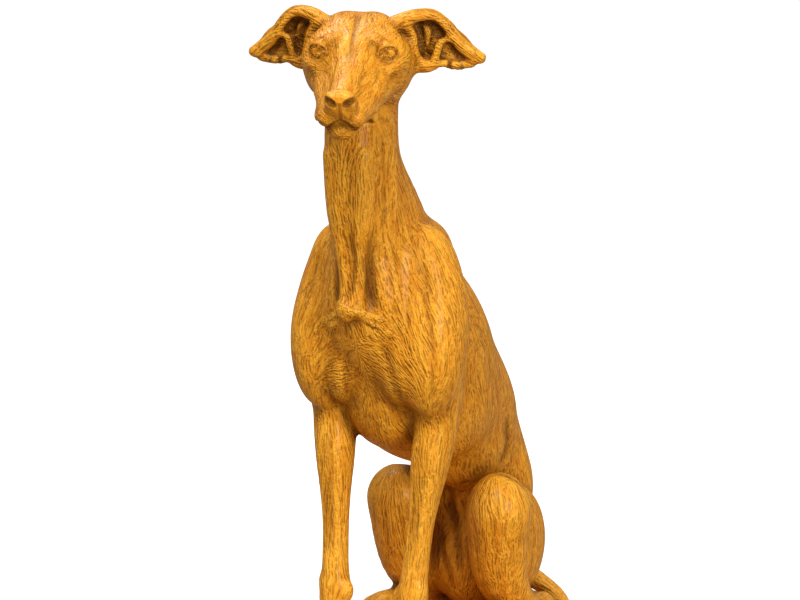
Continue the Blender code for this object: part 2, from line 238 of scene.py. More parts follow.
class Limb:
    """An oval tube. Its stations are x, y, z, half-width along the side vector, half-depth."""

    def __init__(self, stations, side=(1, 0, 0), blend=5.0, pieces=3):
        self.rows = smooth_path(stations, pieces)
        self.side = np.array(side, float) / np.linalg.norm(side)
        self.blend = blend
        self.reach = blend + 8.0

    def change(self, value, points):
        return smooth_min(value, self.distance(points), self.blend)

    def placed(self, axes, centre):
        out = Limb(self.rows, self.side, self.blend, 1)
        out.rows[:, :3] = self.rows[:, :3] @ axes.T + centre
        out.side = axes @ self.side
        return out

    def mirrored(self):
        out = Limb(self.rows, self.side, self.blend, 1)
        out.rows[:, 0] *= -1
        out.side = self.side * (-1, 1, 1)
        return out

    def box(self):
        reach = self.rows[:, 3:5].max(1)[:, None]
        return (self.rows[:, :3] - reach).min(0), (self.rows[:, :3] + reach).max(0)

    def distance(self, points):
        best = np.full(len(points), 1e3)
        for start, end in zip(self.rows[:-1], self.rows[1:]):
            run = end[:3] - start[:3]
            share = np.clip((points - start[:3]) @ run / (run @ run), 0, 1)[:, None]
            row = start + share * (end - start)
            offset = points - row[:, :3]
            across = offset @ self.side
            rest = np.maximum((offset**2).sum(1) - across**2, 0.0)
            wide, deep = row[:, 3], row[:, 4]
            near = np.sqrt((across / wide) ** 2 + rest / deep**2) + 1e-9
            slope = np.sqrt((across / wide**2) ** 2 + rest / deep**4) + 1e-9
            best = np.minimum(best, near * (near - 1.0) / slope)
        return best

    def lumps(self):
        for start, end in zip(self.rows[:-1], self.rows[1:]):
            along = (end - start)[:3]
            length = np.linalg.norm(along)
            count = max(1, int(length / (0.45 * min(start[3:5].min(), end[3:5].min()))))
            third = np.cross(self.side, along / length)
            third /= np.linalg.norm(third)
            axes = np.column_stack([self.side, third, np.cross(self.side, third)])
            for share in np.arange(count + 1) / count:
                row = start + share * (end - start)
                yield row[:3], axes, np.array([row[3], row[4], row[4]])


class Stroke:
    """A gouge cut along a line, or a ridge where the depth is negative, fading at its ends."""

    reach = 0.0

    def __init__(self, points, width, depth, sharp=2.0, taper=True, pieces=4):
        self.rows = smooth_path(points, pieces)
        self.width = width
        self.depth = depth
        self.sharp = sharp
        self.taper = taper

    def placed(self, axes, centre):
        return Stroke(self.rows @ axes.T + centre, self.width, self.depth, self.sharp, self.taper, 1)

    def mirrored(self):
        return Stroke(self.rows * (-1, 1, 1), self.width, self.depth, self.sharp, self.taper, 1)

    def box(self):
        return self.rows.min(0) - self.width, self.rows.max(0) + self.width

    def lumps(self):
        return ()

    def change(self, value, points):
        best = np.full(len(points), 1e3)
        place = np.zeros(len(points))
        count = len(self.rows) - 1
        for i in range(count):
            run = self.rows[i + 1] - self.rows[i]
            share = np.clip((points - self.rows[i]) @ run / (run @ run), 0, 1)
            gap = np.sqrt(((points - self.rows[i] - share[:, None] * run) ** 2).sum(1))
            nearer = gap < best
            best = np.where(nearer, gap, best)
            place = np.where(nearer, (i + share) / count, place)
        fade = np.clip(4.0 * np.minimum(place, 1.0 - place) + 0.15, 0, 1) if self.taper else 1.0
        return value + self.depth * fade * np.clip(1.0 - best / self.width, 0, 1) ** self.sharp


def both(*forms):
    """Each form and its mirror image on the dog's other side."""
    return [one for form in forms for one in (form, form.mirrored())]


def on_side(side, forms):
    """Forms made for the left, on the left for 1 and on the right for -1."""
    return forms if side > 0 else [form.mirrored() for form in forms]


def torso():
    """Ribs, breast, belly, rump and back."""
    return [
        Egg((0, 0, 172), (45, 50, 86), (39, 0, 0), 10),
        Egg((0, -66, 207), (31, 28, 40), (8, 0, 0), 14),
        Egg((0, -42, 155), (29, 27, 36), (14, 0, 0), 22),
        Egg((8, -20, 236), (20, 26, 22), (0, 0, 0), 12),
        Egg((1, 6, 137), (38, 42, 30.5), (0, 0, 0), 14),
        Egg((3, 56, 130), (37, 32, 52), (35, 0, 0), 22),
        Egg((5, 84, 76), (37, 30, 50), (10, 0, 0), 18),
        Egg((5, 50, 106), (28, 28, 24), (0, 0, 0), 14),
        Egg((6, 74, 30), (28, 30, 34), (0, 0, 0), 10),
    ]


def neck():
    """The neck with its two straps and the knob of the breastbone."""
    forms = [
        Limb(
            [
                (0, -50, 230, 30, 44),
                (0, -61, 256, 24, 38),
                (-1, -71, 274, 22, 34),
                (-1, -78, 292, 20.5, 29),
                (-0.7, -81, 310, 19.8, 27),
                (-0.5, -80, 335, 19.5, 26),
                (-0.5, -78, 350, 19.5, 25),
            ],
            blend=10,
        ),
    ]
    # The two strap muscles that run down the front of the throat to the breastbone
    forms += both(
        Limb(
            [
                (10, -101, 300, 4, 4),
                (8.5, -99.5, 276, 4.5, 4.5),
                (6.5, -96.5, 252, 5, 5),
                (4.5, -94.5, 230, 5, 5),
                (3, -96.5, 213, 3.8, 4.5),
            ],
            blend=6,
        )
    )
    forms += [Egg((-3, -98, 211), (5.5, 5.5, 6), (0, 0, 0), 4)]
    return forms


def shoulders():
    return both(
        Egg((29, -51, 221), (18.5, 23, 36), (10, 0, -6), 9),
        Egg((34.5, -58, 191), (20.5, 25, 45), (-8, 0, 0), 9),
        Egg((34, -44, 160), (13, 16, 24), (-16, 0, 0), 8),
    )


def paw(across, forward, heel_length):
    """A foot with four toes: where its heel pad is, across and forward, and how long the pad is."""
    forms = []
    for place, reach in TOES:
        forms.append(
            Limb(
                [
                    (across + 0.75 * place, forward, GROUND + 9, 3.8, 4.8),
                    (across + place, forward - 0.5 * reach, GROUND + 9.5, 3.6, 4.6),
                    (across + place * 1.04, forward - reach, GROUND + 5, 3.4, 4.4),
                ],
                blend=1.5,
            )
        )
    heel = Egg((across, forward + 1, GROUND + 8.5), (11.5, heel_length, 8.5), blend=4)
    return both(heel, *forms)


def forelegs():
    forms = both(
        Limb(
            [
                (34, -48, 154, 12.5, 16),
                (33, -50, 135, 12.3, 15.5),
                (31, -54, 117, 11.3, 14.2),
                (29, -58, 95, 8.8, 11.2),
                (27.5, -61, 77, 7.6, 9.5),
                (26, -65, 52, 7.8, 8.8),
                (25.3, -67, 38, 9.4, 9.4),
                (24.8, -69, 26, 9.0, 8.6),
                (24.5, -71, 13, 8.2, 7.6),
                (24.3, -74, 3, 8.6, 8.0),
            ],
            blend=5,
        ),
        Egg((35.5, -37.5, 147), (6.5, 7, 9), (-20, 0, 0), 5),
    )
    return forms + paw(*FORE_FOOT, 14)


def hind_legs():
    """Thighs, shanks, hocks and feet, turned about the hips."""
    forms = both(
        Egg((28, 62, 44), (16.5, 36, 38), (4, 0, 5), 7),
        Egg((39.5, 35, 70), (18.5, 20, 21), (0, 0, 0), 7),
        Limb(
            [
                (39.5, 34, 70, 19, 18),
                (38.5, 35, 50, 19, 17),
                (38.5, 40, 28, 17, 14),
                (39, 52, 12, 14, 11),
                (38, 70, 4, 10, 9),
                (37, 84, 1, 7, 7.5),
            ],
            blend=6,
        ),
        Limb(
            [
                (37, 88, 0, 7, 7.5),
                (38, 66, 0, 9, 8),
                (40, 42, 1, 11, 9),
                (41, 22, 0, 11.5, 8),
            ],
            blend=5,
        ),
    )
    forms += paw(*HIND_FOOT, 12)
    # The left knee stands a little higher
    forms.append(Egg((39.5, 34, 77), (16, 17, 18.5), (0, 0, 0), 7))
    pivot = np.array(HIP_PIVOT)
    turn = rotation((0, 0, HIP_TURN))
    return [form.placed(turn, pivot - turn @ (0, pivot[1], 0)) for form in forms]


def tail():
    return [
        Limb(
            [
                (6, 100, 28, 9, 9),
                (16, 114, 16, 8, 8),
                (32, 117, 6, 6.6, 6.6),
                (50, 108, 0, 5.4, 5.4),
                (63, 90, -3, 4.8, 4.8),
                (68, 68, -3.5, 4.2, 4.2),
                (66, 48, -3.8, 3.6, 3.6),
                (60, 34, -4, 2.8, 2.8),
            ],
            blend=5,
        )
    ]


def skull():
    """The bare head in its own axes: brain case, muzzle, jaw, nose, cheeks and brows."""
    forms = [
        Egg((0, 7, -2.5), (27, 34, 20.5), (0, 0, 0), 6),
        Egg((0, -16, 1), (20, 21, 12.5), (10, 0, 0), 8),
        Limb(
            [
                (0, -20, -3, 17.5, 12),
                (0, -38, -6.5, 12, 11),
                (0, -58, -9.5, 9.4, 9.8),
                (0, -74, -12, 8.4, 8.4),
                (0, -81, -12.5, 7.6, 7),
            ],
            blend=7,
        ),
        Limb(
            [
                (0, -6, -20, 17, 10),
                (0, -38, -24, 11.5, 8),
                (0, -66, -26.2, 8.6, 5.8),
                (0, -72, -26.6, 7.4, 5.2),
            ],
            blend=3,
        ),
        Egg((0, -83.4, -9.2), (8.6, 5.8, 7.4), (8, 0, 0), 1.6),
        Egg((0, 4, -18), (17, 22, 13), (0, 0, 0), 8),
    ]
    forms += both(
        Egg((8.5, 2, 2.5), (15, 24, 17.2), (0, 0, 0), 4),
        Limb(
            [
                (17, -14, -13, 9, 11),
                (13, -36, -15, 8.2, 9.6),
                (9.8, -54, -17.5, 7.2, 8.2),
                (8.2, -68, -18.4, 6.8, 6.8),
                (6, -77, -18.2, 5.8, 5.6),
            ],
            blend=6,
        ),
        Egg((21, -13, -4), (9, 18, 8.5), (0, 0, -14), 6),
        Egg((16.5, -13.5, 2), (11.5, 14.5, 10.5), (0, 0, -6), 6),
        Egg((18.5, 2, -12), (12.5, 22, 16), (0, 0, 0), 8),
    )
    return forms


def ear(side, spread):
    """One ear swept out sideways, hollow side forward: side is 1 for the left and -1 for the right."""
    s = spread
    forms = [
        Limb(
            [
                (21, 3, 14, 5, 5),
                (30 * s, 5, 18.0, 4, 4),
                (40 * s, 8, 18.5, 3.5, 3.4),
                (47.5 * s, 9, 13, 3.4, 3.2),
                (55 * s, 10, 2.8, 3.6, 3.2),
                (63 * s, 12, -4.2, 3.8, 3.2),
                (68 * s, 12, -7, 3.2, 2.8),
            ],
            side=(0.5, 0, 1),
            blend=2,
        ),
        Egg((38 * s, 14, 3), (17 * s, 3.2, 16), (0, 12, 8), 3),
        Egg((51 * s, 14, -2.5), (14 * s, 3, 11), (0, 42, 4), 3),
        Limb(
            [
                (24, 4, -15, 4.5, 4.5),
                (31 * s, 6, -12.5, 3.0, 3.0),
                (38.5 * s, 7, -12.3, 2.6, 2.6),
                (46 * s, 8.5, -9.6, 2.2, 2.2),
                (54 * s, 10, -10.8, 2.4, 2.4),
                (62 * s, 12, -10, 3, 2.6),
            ],
            blend=3,
        ),
        Egg((25, 9, -2), (9, 8, 16), (0, 0, 0), 4),
    ]
    return on_side(side, forms)


def face_strokes():
    """The mouth, and the groove between the brows."""
    mouth = [(0, -85, -20.4), (5, -83, -23.2), (9.5, -77, -25.4), (13, -66, -26.4), (16, -53, -27)]
    groove = [(0, 6, 20), (0, -8, 19), (0, -30, 9), (0, -52, 1)]
    return both(Stroke(mouth, 2.2, 2.2)) + [Stroke(groove, 3.0, 1.5)]


def strokes():
    """The folds of the body that show from a step away."""
    hollows = both(
        Stroke([(14, -96, 258), (11.5, -96, 240), (12.5, -96, 224), (15.5, -94.5, 210)], 8, 2.0),
        Stroke([(17, -90, 192), (19.5, -84, 172), (21, -76, 156)], 6, 1.0),
        Stroke([(32, -66, 140), (30, -68, 110), (28, -70, 80), (26, -72, 54)], 4.5, 1.2),
    )
    ridges = both(Stroke([(2, -98, 208), (12, -95, 202), (26, -89, 197)], 4, -2.2))
    return hollows + ridges


def figure():
    """Every form of the bare figure in parts, with the head in its place."""
    turn, centre = head_place()
    head = skull() + [form for side, spread in EARS for form in ear(side, spread)]
    head = [form.placed(turn, centre) for form in head]
    return torso() + neck() + shoulders() + forelegs() + hind_legs() + tail() + head


def head_place():
    """The head's turn as a 3x3 array, and its centre."""
    turn = rotation((0, 0, HEAD_TURN)) @ rotation((HEAD_NOD, 0, 0)) @ rotation((0, HEAD_TILT, 0))
    return turn, np.array(HEAD_CENTRE)


def eye_point(across, up, lift):
    """A point by the left eye: across towards its outer corner, up, and out from the ball."""
    outward, side, rise = aimed(EYE_OUTWARD)
    depth = math.sqrt(max((EYE_RADIUS + lift) ** 2 - across**2 - up**2, 0.6))
    return EYE_CENTRE + outward * depth + side * across + rise * up


def aimed(way):
    """This way as a unit vector, with the two that lie across it: sideways and upwards."""
    way = way / np.linalg.norm(way)
    side = np.cross((0, 0, 1), way)
    side /= np.linalg.norm(side)
    return way, side, np.cross(way, side)


def eyelid(height, thickness, lift):
    """A rim of lid over the ball from the inner corner to the outer one."""
    rows = []
    for step in range(9):
        angle = math.pi * step / 8
        point = eye_point(-LID_REACH * math.cos(angle), height * math.sin(angle) - 0.5, lift)
        slim = 0.72 + 0.28 * math.sin(angle)
        rows.append((*point, thickness * slim, thickness * slim))
    return Limb(rows, blend=1.2, pieces=1)


def eye_sockets():
    """The soft hollows that the eye balls sit in."""
    rows = [eye_point(-5.5, -1.5, 1), eye_point(0, 0.5, 1), eye_point(5, 1, 1)]
    return both(Stroke(rows, 8.5, 2.0, 1.1, taper=False, pieces=2))


def eyes():
    """Eye balls, lids, tear ducts, brows and the flesh under the eyes."""
    tear_duct = [
        (*eye_point(-5.2, -0.8, 0.0), 1.2, 1.2),
        (*eye_point(-6.9, -2.1, 0.7), 1.0, 1.0),
        (*eye_point(-8.4, -3.4, 2.2), 0.8, 0.8),
    ]
    return both(
        Egg(EYE_CENTRE, (EYE_RADIUS,) * 3, blend=0.8),
        eyelid(4.5, 1.25, 0.35),
        eyelid(-4.2, 1.05, 0.1),
        Limb(tear_duct, blend=1.2),
        Egg((13.4, -24.4, 10.6), (5.2, 3.2, 2.5), (0, 14, -20), 4),
        Egg((21.5, -24.5, -3.2), (5.5, 3.2, 2.0), (0, 14, 24), 4),
    )


def eye_strokes():
    """The iris, the pupil and the line between each ball and its lids."""
    gaze, side, rise = aimed(EYE_GAZE)
    ring, opening = [], []
    for step in range(17):
        angle = 2 * math.pi * step / 16
        round_gaze = math.cos(angle) * side + math.sin(angle) * rise
        ring.append(EYE_CENTRE + 5.4 * gaze + IRIS_RADIUS * round_gaze)
        opening.append(eye_point(-4.5 * math.cos(angle), 3.2 * math.sin(angle) - 0.4, 0.0))
    front = EYE_CENTRE + EYE_RADIUS * gaze
    return both(
        Stroke(ring, 0.8, 0.35, 1.2, taper=False, pieces=1),
        Stroke(opening, 1.1, 0.95, 1.2, taper=False, pieces=1),
        Stroke([front - 0.2 * side, front + 0.2 * side], 1.6, 1.4, 1.0, taper=False, pieces=1),
    )


def lips():
    """Nose wings, upper lips, their corners and the chin."""
    return both(
        Egg((4.6, -84.8, -8.0), (3.9, 4.2, 5.0), (0, 10, 14), 1.4),
        Egg((7.0, -77, -19.4), (6.4, 8, 5.4), (0, 0, 10), 2.4),
        Egg((14.4, -54, -24.5), (3.2, 8, 4.0), (0, 0, 8), 4),
    ) + [Egg((0, -75.2, -27.4), (8.0, 7.0, 5.2), (0, 0, 0), 3)]


def face_details():
    """Nostrils, lips, whisker pits, and the creases that run from the eyes to the muzzle."""
    lid_fold, bag_fold = [], []
    for angle in (0.5, 1, 1.6, 2.2, 2.8):
        lid_fold.append(eye_point(-5.5 * math.cos(angle), 6.6 * math.sin(angle) + 0.8, 1.4))
    for angle in (0.3, 0.9, 1.6, 2.3):
        bag_fold.append(eye_point(-5.5 * math.cos(angle), -6.2 * math.sin(angle) - 0.8, 1.2))
    nose_edge = [(8.4, -83, -15.5), (9.2, -79, -12.5), (9.4, -76, -8), (6.8, -76, -3.5), (0, -77, -1.8)]
    philtrum = [(0, -91, -10), (0, -90, -13), (0, -88.5, -16.8), (0, -86.5, -20)]
    cuts = both(
        Stroke([(3.2, -90, -10.2), (4.6, -90, -8.8), (6.6, -88, -7.4), (8.4, -85, -7.6)], 2.6, 3.2, 1.2),
        Stroke([(4.0, -90, -9.6), (4.8, -90, -8.8)], 2.4, 2.4, 1.0, taper=False),
        Stroke(nose_edge, 1.8, 0.9),
        Stroke([(15.0, -58, -27), (17.6, -50, -28), (17.5, -46, -24.5)], 2.4, 1.1, 1.4),
        Stroke([(18, -44, -19), (19, -47, -24), (17, -50, -29)], 2.6, 1.0),
        Stroke(lid_fold, 2.2, 0.8, 1.4),
        Stroke(bag_fold, 2.2, 0.6, 1.4),
        Stroke([(9.0, -34, 6), (9.4, -44, 1), (9.6, -56, -3.5), (10, -68, -6.5)], 3.6, 0.8),
        Stroke([(15, -33, -4), (14, -44, -8.5), (13.5, -58, -12.5)], 3.4, 0.7),
        Stroke([(24, -24, -7), (20.5, -34, -12), (18, -42, -16)], 4.0, 0.8),
        Stroke([(4, -30, 13), (3.4, -38, 9), (4.2, -50, 3.5)], 3.0, 0.6),
        Stroke([(15.6, -27, 13.4), (11.2, -30, 13.4), (10.2, -32, 10), (11, -32.5, 6.5)], 3.0, 0.6, 1.2),
        Stroke([(26, -10, -14), (23, -20, -21), (18, -30, -26)], 5.0, 0.9),
        Stroke([(30, 2, 4), (29, -10, -4), (27, -16, -14)], 4.0, 0.7),
    )
    cuts.append(Stroke(philtrum, 1.4, 1.0, 1.2, taper=False))
    # Whisker pits, in three rows of four
    for row in range(3):
        for step in range(4):
            pit = np.array((11, -80 + 1.5 * row, -15.5 - 2.5 * row)) + step * np.array((0.8, 4.6, 0.2))
            cuts += both(Stroke([pit, pit + (0, 0.5, 0.1)], 1.2, 0.5, taper=False, pieces=1))
    return cuts


def ear_folds(side, spread):
    """The folded gristle in the hollow of one ear, and the twist of its rim."""
    s = spread
    forms = [
        Limb(
            [
                (26.4 * s, 3, 12.8, 2.6, 2.6),
                (29.7 * s, 4, 7, 2.2, 2.2),
                (30.4 * s, 5, -1, 2.2, 2.2),
                (34.4 * s, 6, -8, 2.1, 2.1),
                (40 * s, 7, -9.6, 2.3, 2.0),
                (42.8 * s, 7, -4.5, 2.3, 2.0),
                (45 * s, 7.5, 2.4, 2.2, 1.9),
                (50 * s, 9, 5.4, 1.8, 1.6),
            ],
            blend=3.2,
        ),
        Limb(
            [(35 * s, 10, 14, 1.2, 1.2), (38.5 * s, 10, 6, 2.4, 2.0), (36 * s, 10, -2, 2.2, 1.8)],
            blend=3.5,
        ),
        Limb(
            [(55 * s, 10, 0, 1.2, 1.2), (60 * s, 11, -5, 1.4, 1.4), (66 * s, 12, -8, 1.2, 1.2)],
            blend=2.0,
        ),
    ]
    return on_side(side, forms)


def ear_strokes(side, spread):
    """The hollows between one ear's folds, and the nicks and lines of its rim."""
    s = spread
    cuts = [
        Stroke([(27 * s, 6, 15), (35 * s, 8, 15.5), (43 * s, 9, 12.5), (50 * s, 9.5, 5)], 3.6, 2.0, 1.3),
        Stroke([(33 * s, 8, 10), (33.5 * s, 8, 2), (36 * s, 9, -4)], 3.4, 3.0, 1.2),
        Stroke([(41.5 * s, 10, 9), (41 * s, 10, 2), (39 * s, 9, -5)], 3.0, 2.4, 1.2),
        Stroke([(50.5 * s, 10, 1), (53 * s, 10, -4), (58 * s, 11, -7.6)], 2.6, 1.6, 1.3),
        Stroke([(34 * s, 6, 21), (44 * s, 8, 18), (52 * s, 9, 8), (60 * s, 10, -1)], 1.6, 0.9),
        Stroke([(30 * s, 5, 21), (38 * s, 7, 21.5), (46 * s, 8, 17)], 1.6, 0.8),
        Stroke([(43.5 * s, 8, -12), (43.5 * s, 8, -8)], 2.0, 1.2),
        Stroke([(50.5 * s, 9, -12.5), (50 * s, 9, -8)], 2.2, 1.4),
        Stroke([(57 * s, 10, -13), (56.5 * s, 10, -9.5)], 1.8, 1.0),
    ]
    return on_side(side, cuts)


def body_strokes():
    """Folds, tendons and veins of the body. A negative depth makes a ridge."""
    left_crease = [(15.8, -92, 197), (17, -88, 184), (19, -84, 170), (21, -78, 162), (21, -66, 150)]
    belly_line = [(-7, -90, 190), (-10, -84, 172), (-12, -72, 151), (-10, -55, 132), (-8, -45, 121)]
    cuts = [
        # Breastbone: the pit between the straps, the knob and the sharp folds that leave it
        Stroke([(3.6, -98, 258), (3.6, -99, 244), (2.5, -100, 230), (0, -100, 219)], 3.2, 1.7),
        Stroke([(-9, -97, 240), (-8, -98, 226), (-9, -97, 216)], 4.0, 1.2),
        Stroke([(12, -94, 238), (13, -95, 222), (14.5, -94, 210)], 4.5, 1.6),
        Stroke([(-4, -101, 213), (6.5, -99, 209), (13, -96, 206.5), (20, -94, 205)], 2.8, -3.0, 1.3),
        Stroke([(-6, -99, 210), (-18, -94, 205), (-29, -88, 200)], 2.8, -2.0, 1.3),
        Stroke([(7, -97, 203), (14, -95, 200), (22, -92, 199)], 3.0, 1.4),
        # Chest: creases beside the forelegs, and the lines down to the belly
        Stroke(left_crease, 3.6, 1.1),
        Stroke([(-22, -88, 186), (-23, -80, 172), (-25.8, -72, 158), (-25, -62, 146)], 3.6, 1.0),
        Stroke(belly_line, 4.0, 0.8),
        Stroke([(5, -92, 194), (5, -84, 170), (2, -70, 146)], 4.0, 0.6),
        # Shoulders: the vein that runs down the left one, and the edges of the muscles
        Stroke([(15.5, -84, 258), (19, -84, 236), (25.5, -84, 211), (27, -82, 196)], 3.2, -1.5),
        Stroke([(30, -70, 250), (36, -72, 226), (40, -76, 200), (42, -74, 176)], 5.0, 1.0),
        Stroke([(-30, -70, 246), (-36, -74, 222), (-40, -78, 198)], 5.0, 0.9),
        # Neck: windpipe, side groove and its ridge
        Stroke([(18.5, -92, 318), (18.5, -90, 300), (17.1, -88, 272), (16, -90, 258)], 4.0, 1.2),
        Stroke([(22, -84, 312), (22, -80, 290), (22, -80, 268)], 4.0, -1.0),
        Stroke([(-16, -94, 314), (-16, -94, 290), (-15, -95, 266)], 4.0, 0.9),
        Stroke([(3, -106, 318), (3.5, -106, 296), (3, -104, 274), (3.5, -100, 256)], 3.0, 0.5),
        # Withers and the left side of the back
        Stroke([(14, -48, 262), (26, -40, 244), (34, -28, 222), (38, -18, 200)], 6.0, 1.2),
        # Knees: the fold of skin, and the groove between shank and ham
        Stroke([(38, 24, 96), (48, 24, 90), (57, 32, 83), (62, 44, 76)], 2.8, 1.4),
        Stroke([(60, 34, 70), (57, 42, 50), (58, 44, 30), (58, 46, 14)], 4.2, 1.8),
        Stroke([(48, 6, 72), (48, 8, 50), (48, 12, 30), (48, 14, 12)], 5.0, 0.8),
        Stroke([(36, 8, 76), (34, 10, 52), (36, 14, 30)], 4.0, 0.7),
        Stroke([(-34, 26, 70), (-34, 28, 50), (-34, 30, 30)], 4.5, 0.9),
        # Inside of the thighs: the skin folds between the hind legs
        Stroke([(-2.6, 46, 78), (3, 46, 60), (8, 46, 40), (9, 46, 24)], 4.0, 3.0),
        Stroke([(-10, 50, 60), (-5, 50, 42), (2, 50, 27), (4, 50, 12)], 4.0, 2.6),
        Stroke([(14, 40, 92), (17, 36, 70), (19, 34, 44), (21, 30, 22)], 4.5, 2.6),
        Stroke([(-12, 52, 86), (-14, 50, 66), (-14, 50, 44), (-12, 50, 22)], 4.5, 2.2),
        Stroke([(4, 44, 92), (9, 44, 72), (13, 44, 52)], 3.0, -1.6),
    ]
    cuts += both(
        # Forelegs: the groove between the two muscles, and the tendons above the foot
        Stroke([(25.5, -72, 134), (25, -73, 112), (23.8, -74, 84), (23, -76, 58)], 3.6, 1.3),
        Stroke([(36, -66, 134), (33, -69, 108), (30.5, -70, 80), (29.5, -73, 54)], 3.4, 0.9),
        Stroke([(19, -62, 120), (19.5, -64, 92), (19, -68, 62)], 3.6, 0.8),
        Stroke([(24.3, -80, 30), (24.0, -81, 16), (23.6, -84, 6)], 2.4, 0.7),
        Stroke([(40, -44, 132), (37, -48, 108), (33, -52, 84), (31, -58, 60)], 4.0, 1.2),
        # Blade, ribs and flank
        Stroke([(46, -40, 236), (50, -44, 205), (50, -40, 176), (46, -34, 156)], 6.0, 1.6),
        Stroke([(42, -20, 210), (46, 0, 178), (44, 22, 146)], 9.0, 0.8),
        Stroke([(40, 44, 128), (42, 54, 108), (40, 50, 92)], 8.0, 1.6),
        # Hind feet and the hocks
        Stroke([(52, 60, 20), (50, 70, 8), (48, 80, 0)], 3.5, 1.2),
    )
    return cuts


def small_forms():
    """Knobs, pads, nails and knuckles, and the flesh between breast and shoulder."""
    forms = both(
        Egg((19, -66, 179), (12, 16.5, 25), (-4, 0, 0), 8),
        Egg((16.6, -68, 37), (3.2, 4.5, 5.5), (0, 0, 0), 3),
        Egg((25, -58.5, 33), (3.8, 3.6, 5), (0, 0, 0), 2),
        Egg((30.8, -69, 42), (3.2, 4, 5), (0, 0, 0), 3),
    )
    across, forward = FORE_FOOT
    for place, reach in TOES:
        tip = forward - reach
        forms += both(
            Limb(
                [
                    (across + place * 1.04, tip - 2.6, GROUND + 5.2, 1.7, 1.9),
                    (across + place * 1.06, tip - 5.0, GROUND + 3.6, 1.2, 1.5),
                    (across + place * 1.06, tip - 6.4, GROUND + 2.0, 0.6, 0.8),
                ],
                blend=0.8,
            ),
            Egg((across + place, tip + 8.5, GROUND + 12.2), (3.3, 3.6, 2.6), (-20, 0, 0), 1.5),
        )
    return forms


def hair_guides():
    """Which way the carved hair lies, at places in parts: x, y, z, then the direction."""
    turn, centre = head_place()
    on_head = [
        (0, -84, 0, 0, 1, 0.3),
        (0, -60, -2, 0, 1, 0.3),
        (0, -34, 8, 0, 1, 0.7),
        (8, -22, 16, 0.5, 1, 0.6),
        (0, -6, 19, 0.1, 1, 0.2),
        (0, 24, 14, 0, 0.7, -0.6),
        (12, -50, -10, 0.1, 1, 0.05),
        (12, -74, -18, 0.3, 1, 0.1),
        (22, -28, -6, 0.5, 1, -0.5),
        (26, -12, 8, 0.3, 0.8, 0.5),
        (28, -4, -12, 0.2, 0.8, -0.7),
        (20, -20, -22, 0.2, 0.9, -0.5),
        (8, -66, -30, 0.1, 1, -0.1),
        (0, -30, -30, 0, 0.8, -0.5),
        (32, 8, 16, 1, 0.1, 0.3),
        (44, 8, 18, 1, 0.1, -0.1),
        (55, 10, 6, 0.75, 0.1, -0.75),
        (64, 12, -4, 0.8, 0.1, -0.6),
        (40, 9, 0, 0.8, 0.1, 0.3),
        (36, 8, -12, 1, 0.1, 0.0),
    ]
    on_body = [
        (8, -104, 308, -0.35, 0.2, -1),
        (2, -106, 290, 0, 0.05, -1),
        (20, -84, 296, -0.3, 0.1, -1),
        (18, -96, 272, -0.25, 0, -1),
        (5, -100, 246, 0, 0, -1),
        (20, -60, 290, 0, 0.5, -1),
        (16, -92, 230, 0.15, 0.1, -1),
        (6, -98, 200, 0.1, 0.1, -1),
        (20, -90, 200, 0.8, 0.1, -0.9),
        (4, -88, 186, 0.9, 0, -0.5),
        (12, -84, 168, 1, 0.1, -0.15),
        (6, -76, 152, 0.6, 0.3, -0.9),
        (6, -56, 132, 0.2, 0.8, -0.6),
        (4, -20, 110, 0, 1, -0.2),
        (36, -70, 232, 0.2, 0.2, -1),
        (48, -50, 226, 0.1, 0.5, -1),
        (50, -60, 190, 0.05, 0.15, -1),
        (42, -66, 170, -0.1, 0, -1),
        (46, -36, 164, 0, 0.1, -1),
        (34, -60, 120, -0.05, -0.1, -1),
        (28, -64, 70, -0.03, -0.1, -1),
        (25, -74, 10, 0, -0.6, -0.9),
        (26, -88, 0, 0, -1, -0.3),
        (46, -6, 196, 0.05, 0.7, -0.9),
        (46, 14, 164, 0, 0.45, -1),
        (40, 44, 150, 0, 0.5, -1),
        (38, 40, 118, 0.1, 0.3, -1),
        (6, 0, 250, 0, 0.8, -0.6),
        (4, 40, 208, 0, 0.75, -0.75),
        (4, 84, 150, 0, 0.45, -0.95),
        (5, 112, 90, 0, 0.1, -1),
        (40, 84, 80, 0.2, 0.4, -1),
        (52, 60, 56, 0.05, 0.1, -1),
        (44, 10, 84, 0.1, -0.2, -1),
        (44, 14, 50, 0, 0.05, -1),
        (30, 22, 60, 0, 0.1, -1),
        (44, 22, 12, 0, -0.2, -1),
        (6, 46, 60, 0.05, 0, -1),
    ]
    on_tail = [
        (14, 112, 18, 0.6, 0.6, -0.5),
        (44, 114, 2, 0.8, -0.4, -0.2),
        (66, 86, -3, 0.2, -1, 0),
        (66, 50, -4, -0.3, -1, 0),
    ]
    rows = []
    for x, y, z, dx, dy, dz in on_head:
        for side in (1, -1):
            place = turn @ (side * x, y, z) + centre
            rows.append((*place, *(turn @ (side * dx, dy, dz))))
    for x, y, z, dx, dy, dz in on_body:
        for side in (1, -1):
            rows.append((side * x, y, z, side * dx, dy, dz))
    rows += on_tail
    return np.array(rows, float)


def hair_directions(points, normals):
    """The lie of the hair at each point, along the surface, and a mask near 1 where it has none."""
    guides = hair_guides()
    lie = guides[:, 3:] / np.linalg.norm(guides[:, 3:], axis=1)[:, None]
    out = np.zeros_like(points)
    weight_sum = np.zeros(len(points))
    for place, way in zip(guides[:, :3], lie):
        weight = 1.0 / (((points - place) ** 2).sum(1) + 20.0) ** 1.7
        out += weight[:, None] * way
        weight_sum += weight
    out /= weight_sum[:, None]
    out -= (out * normals).sum(1)[:, None] * normals
    size = np.linalg.norm(out, axis=1)
    return out / np.maximum(size, 1e-6)[:, None], np.clip(1.2 - size / 0.3, 0, 1)


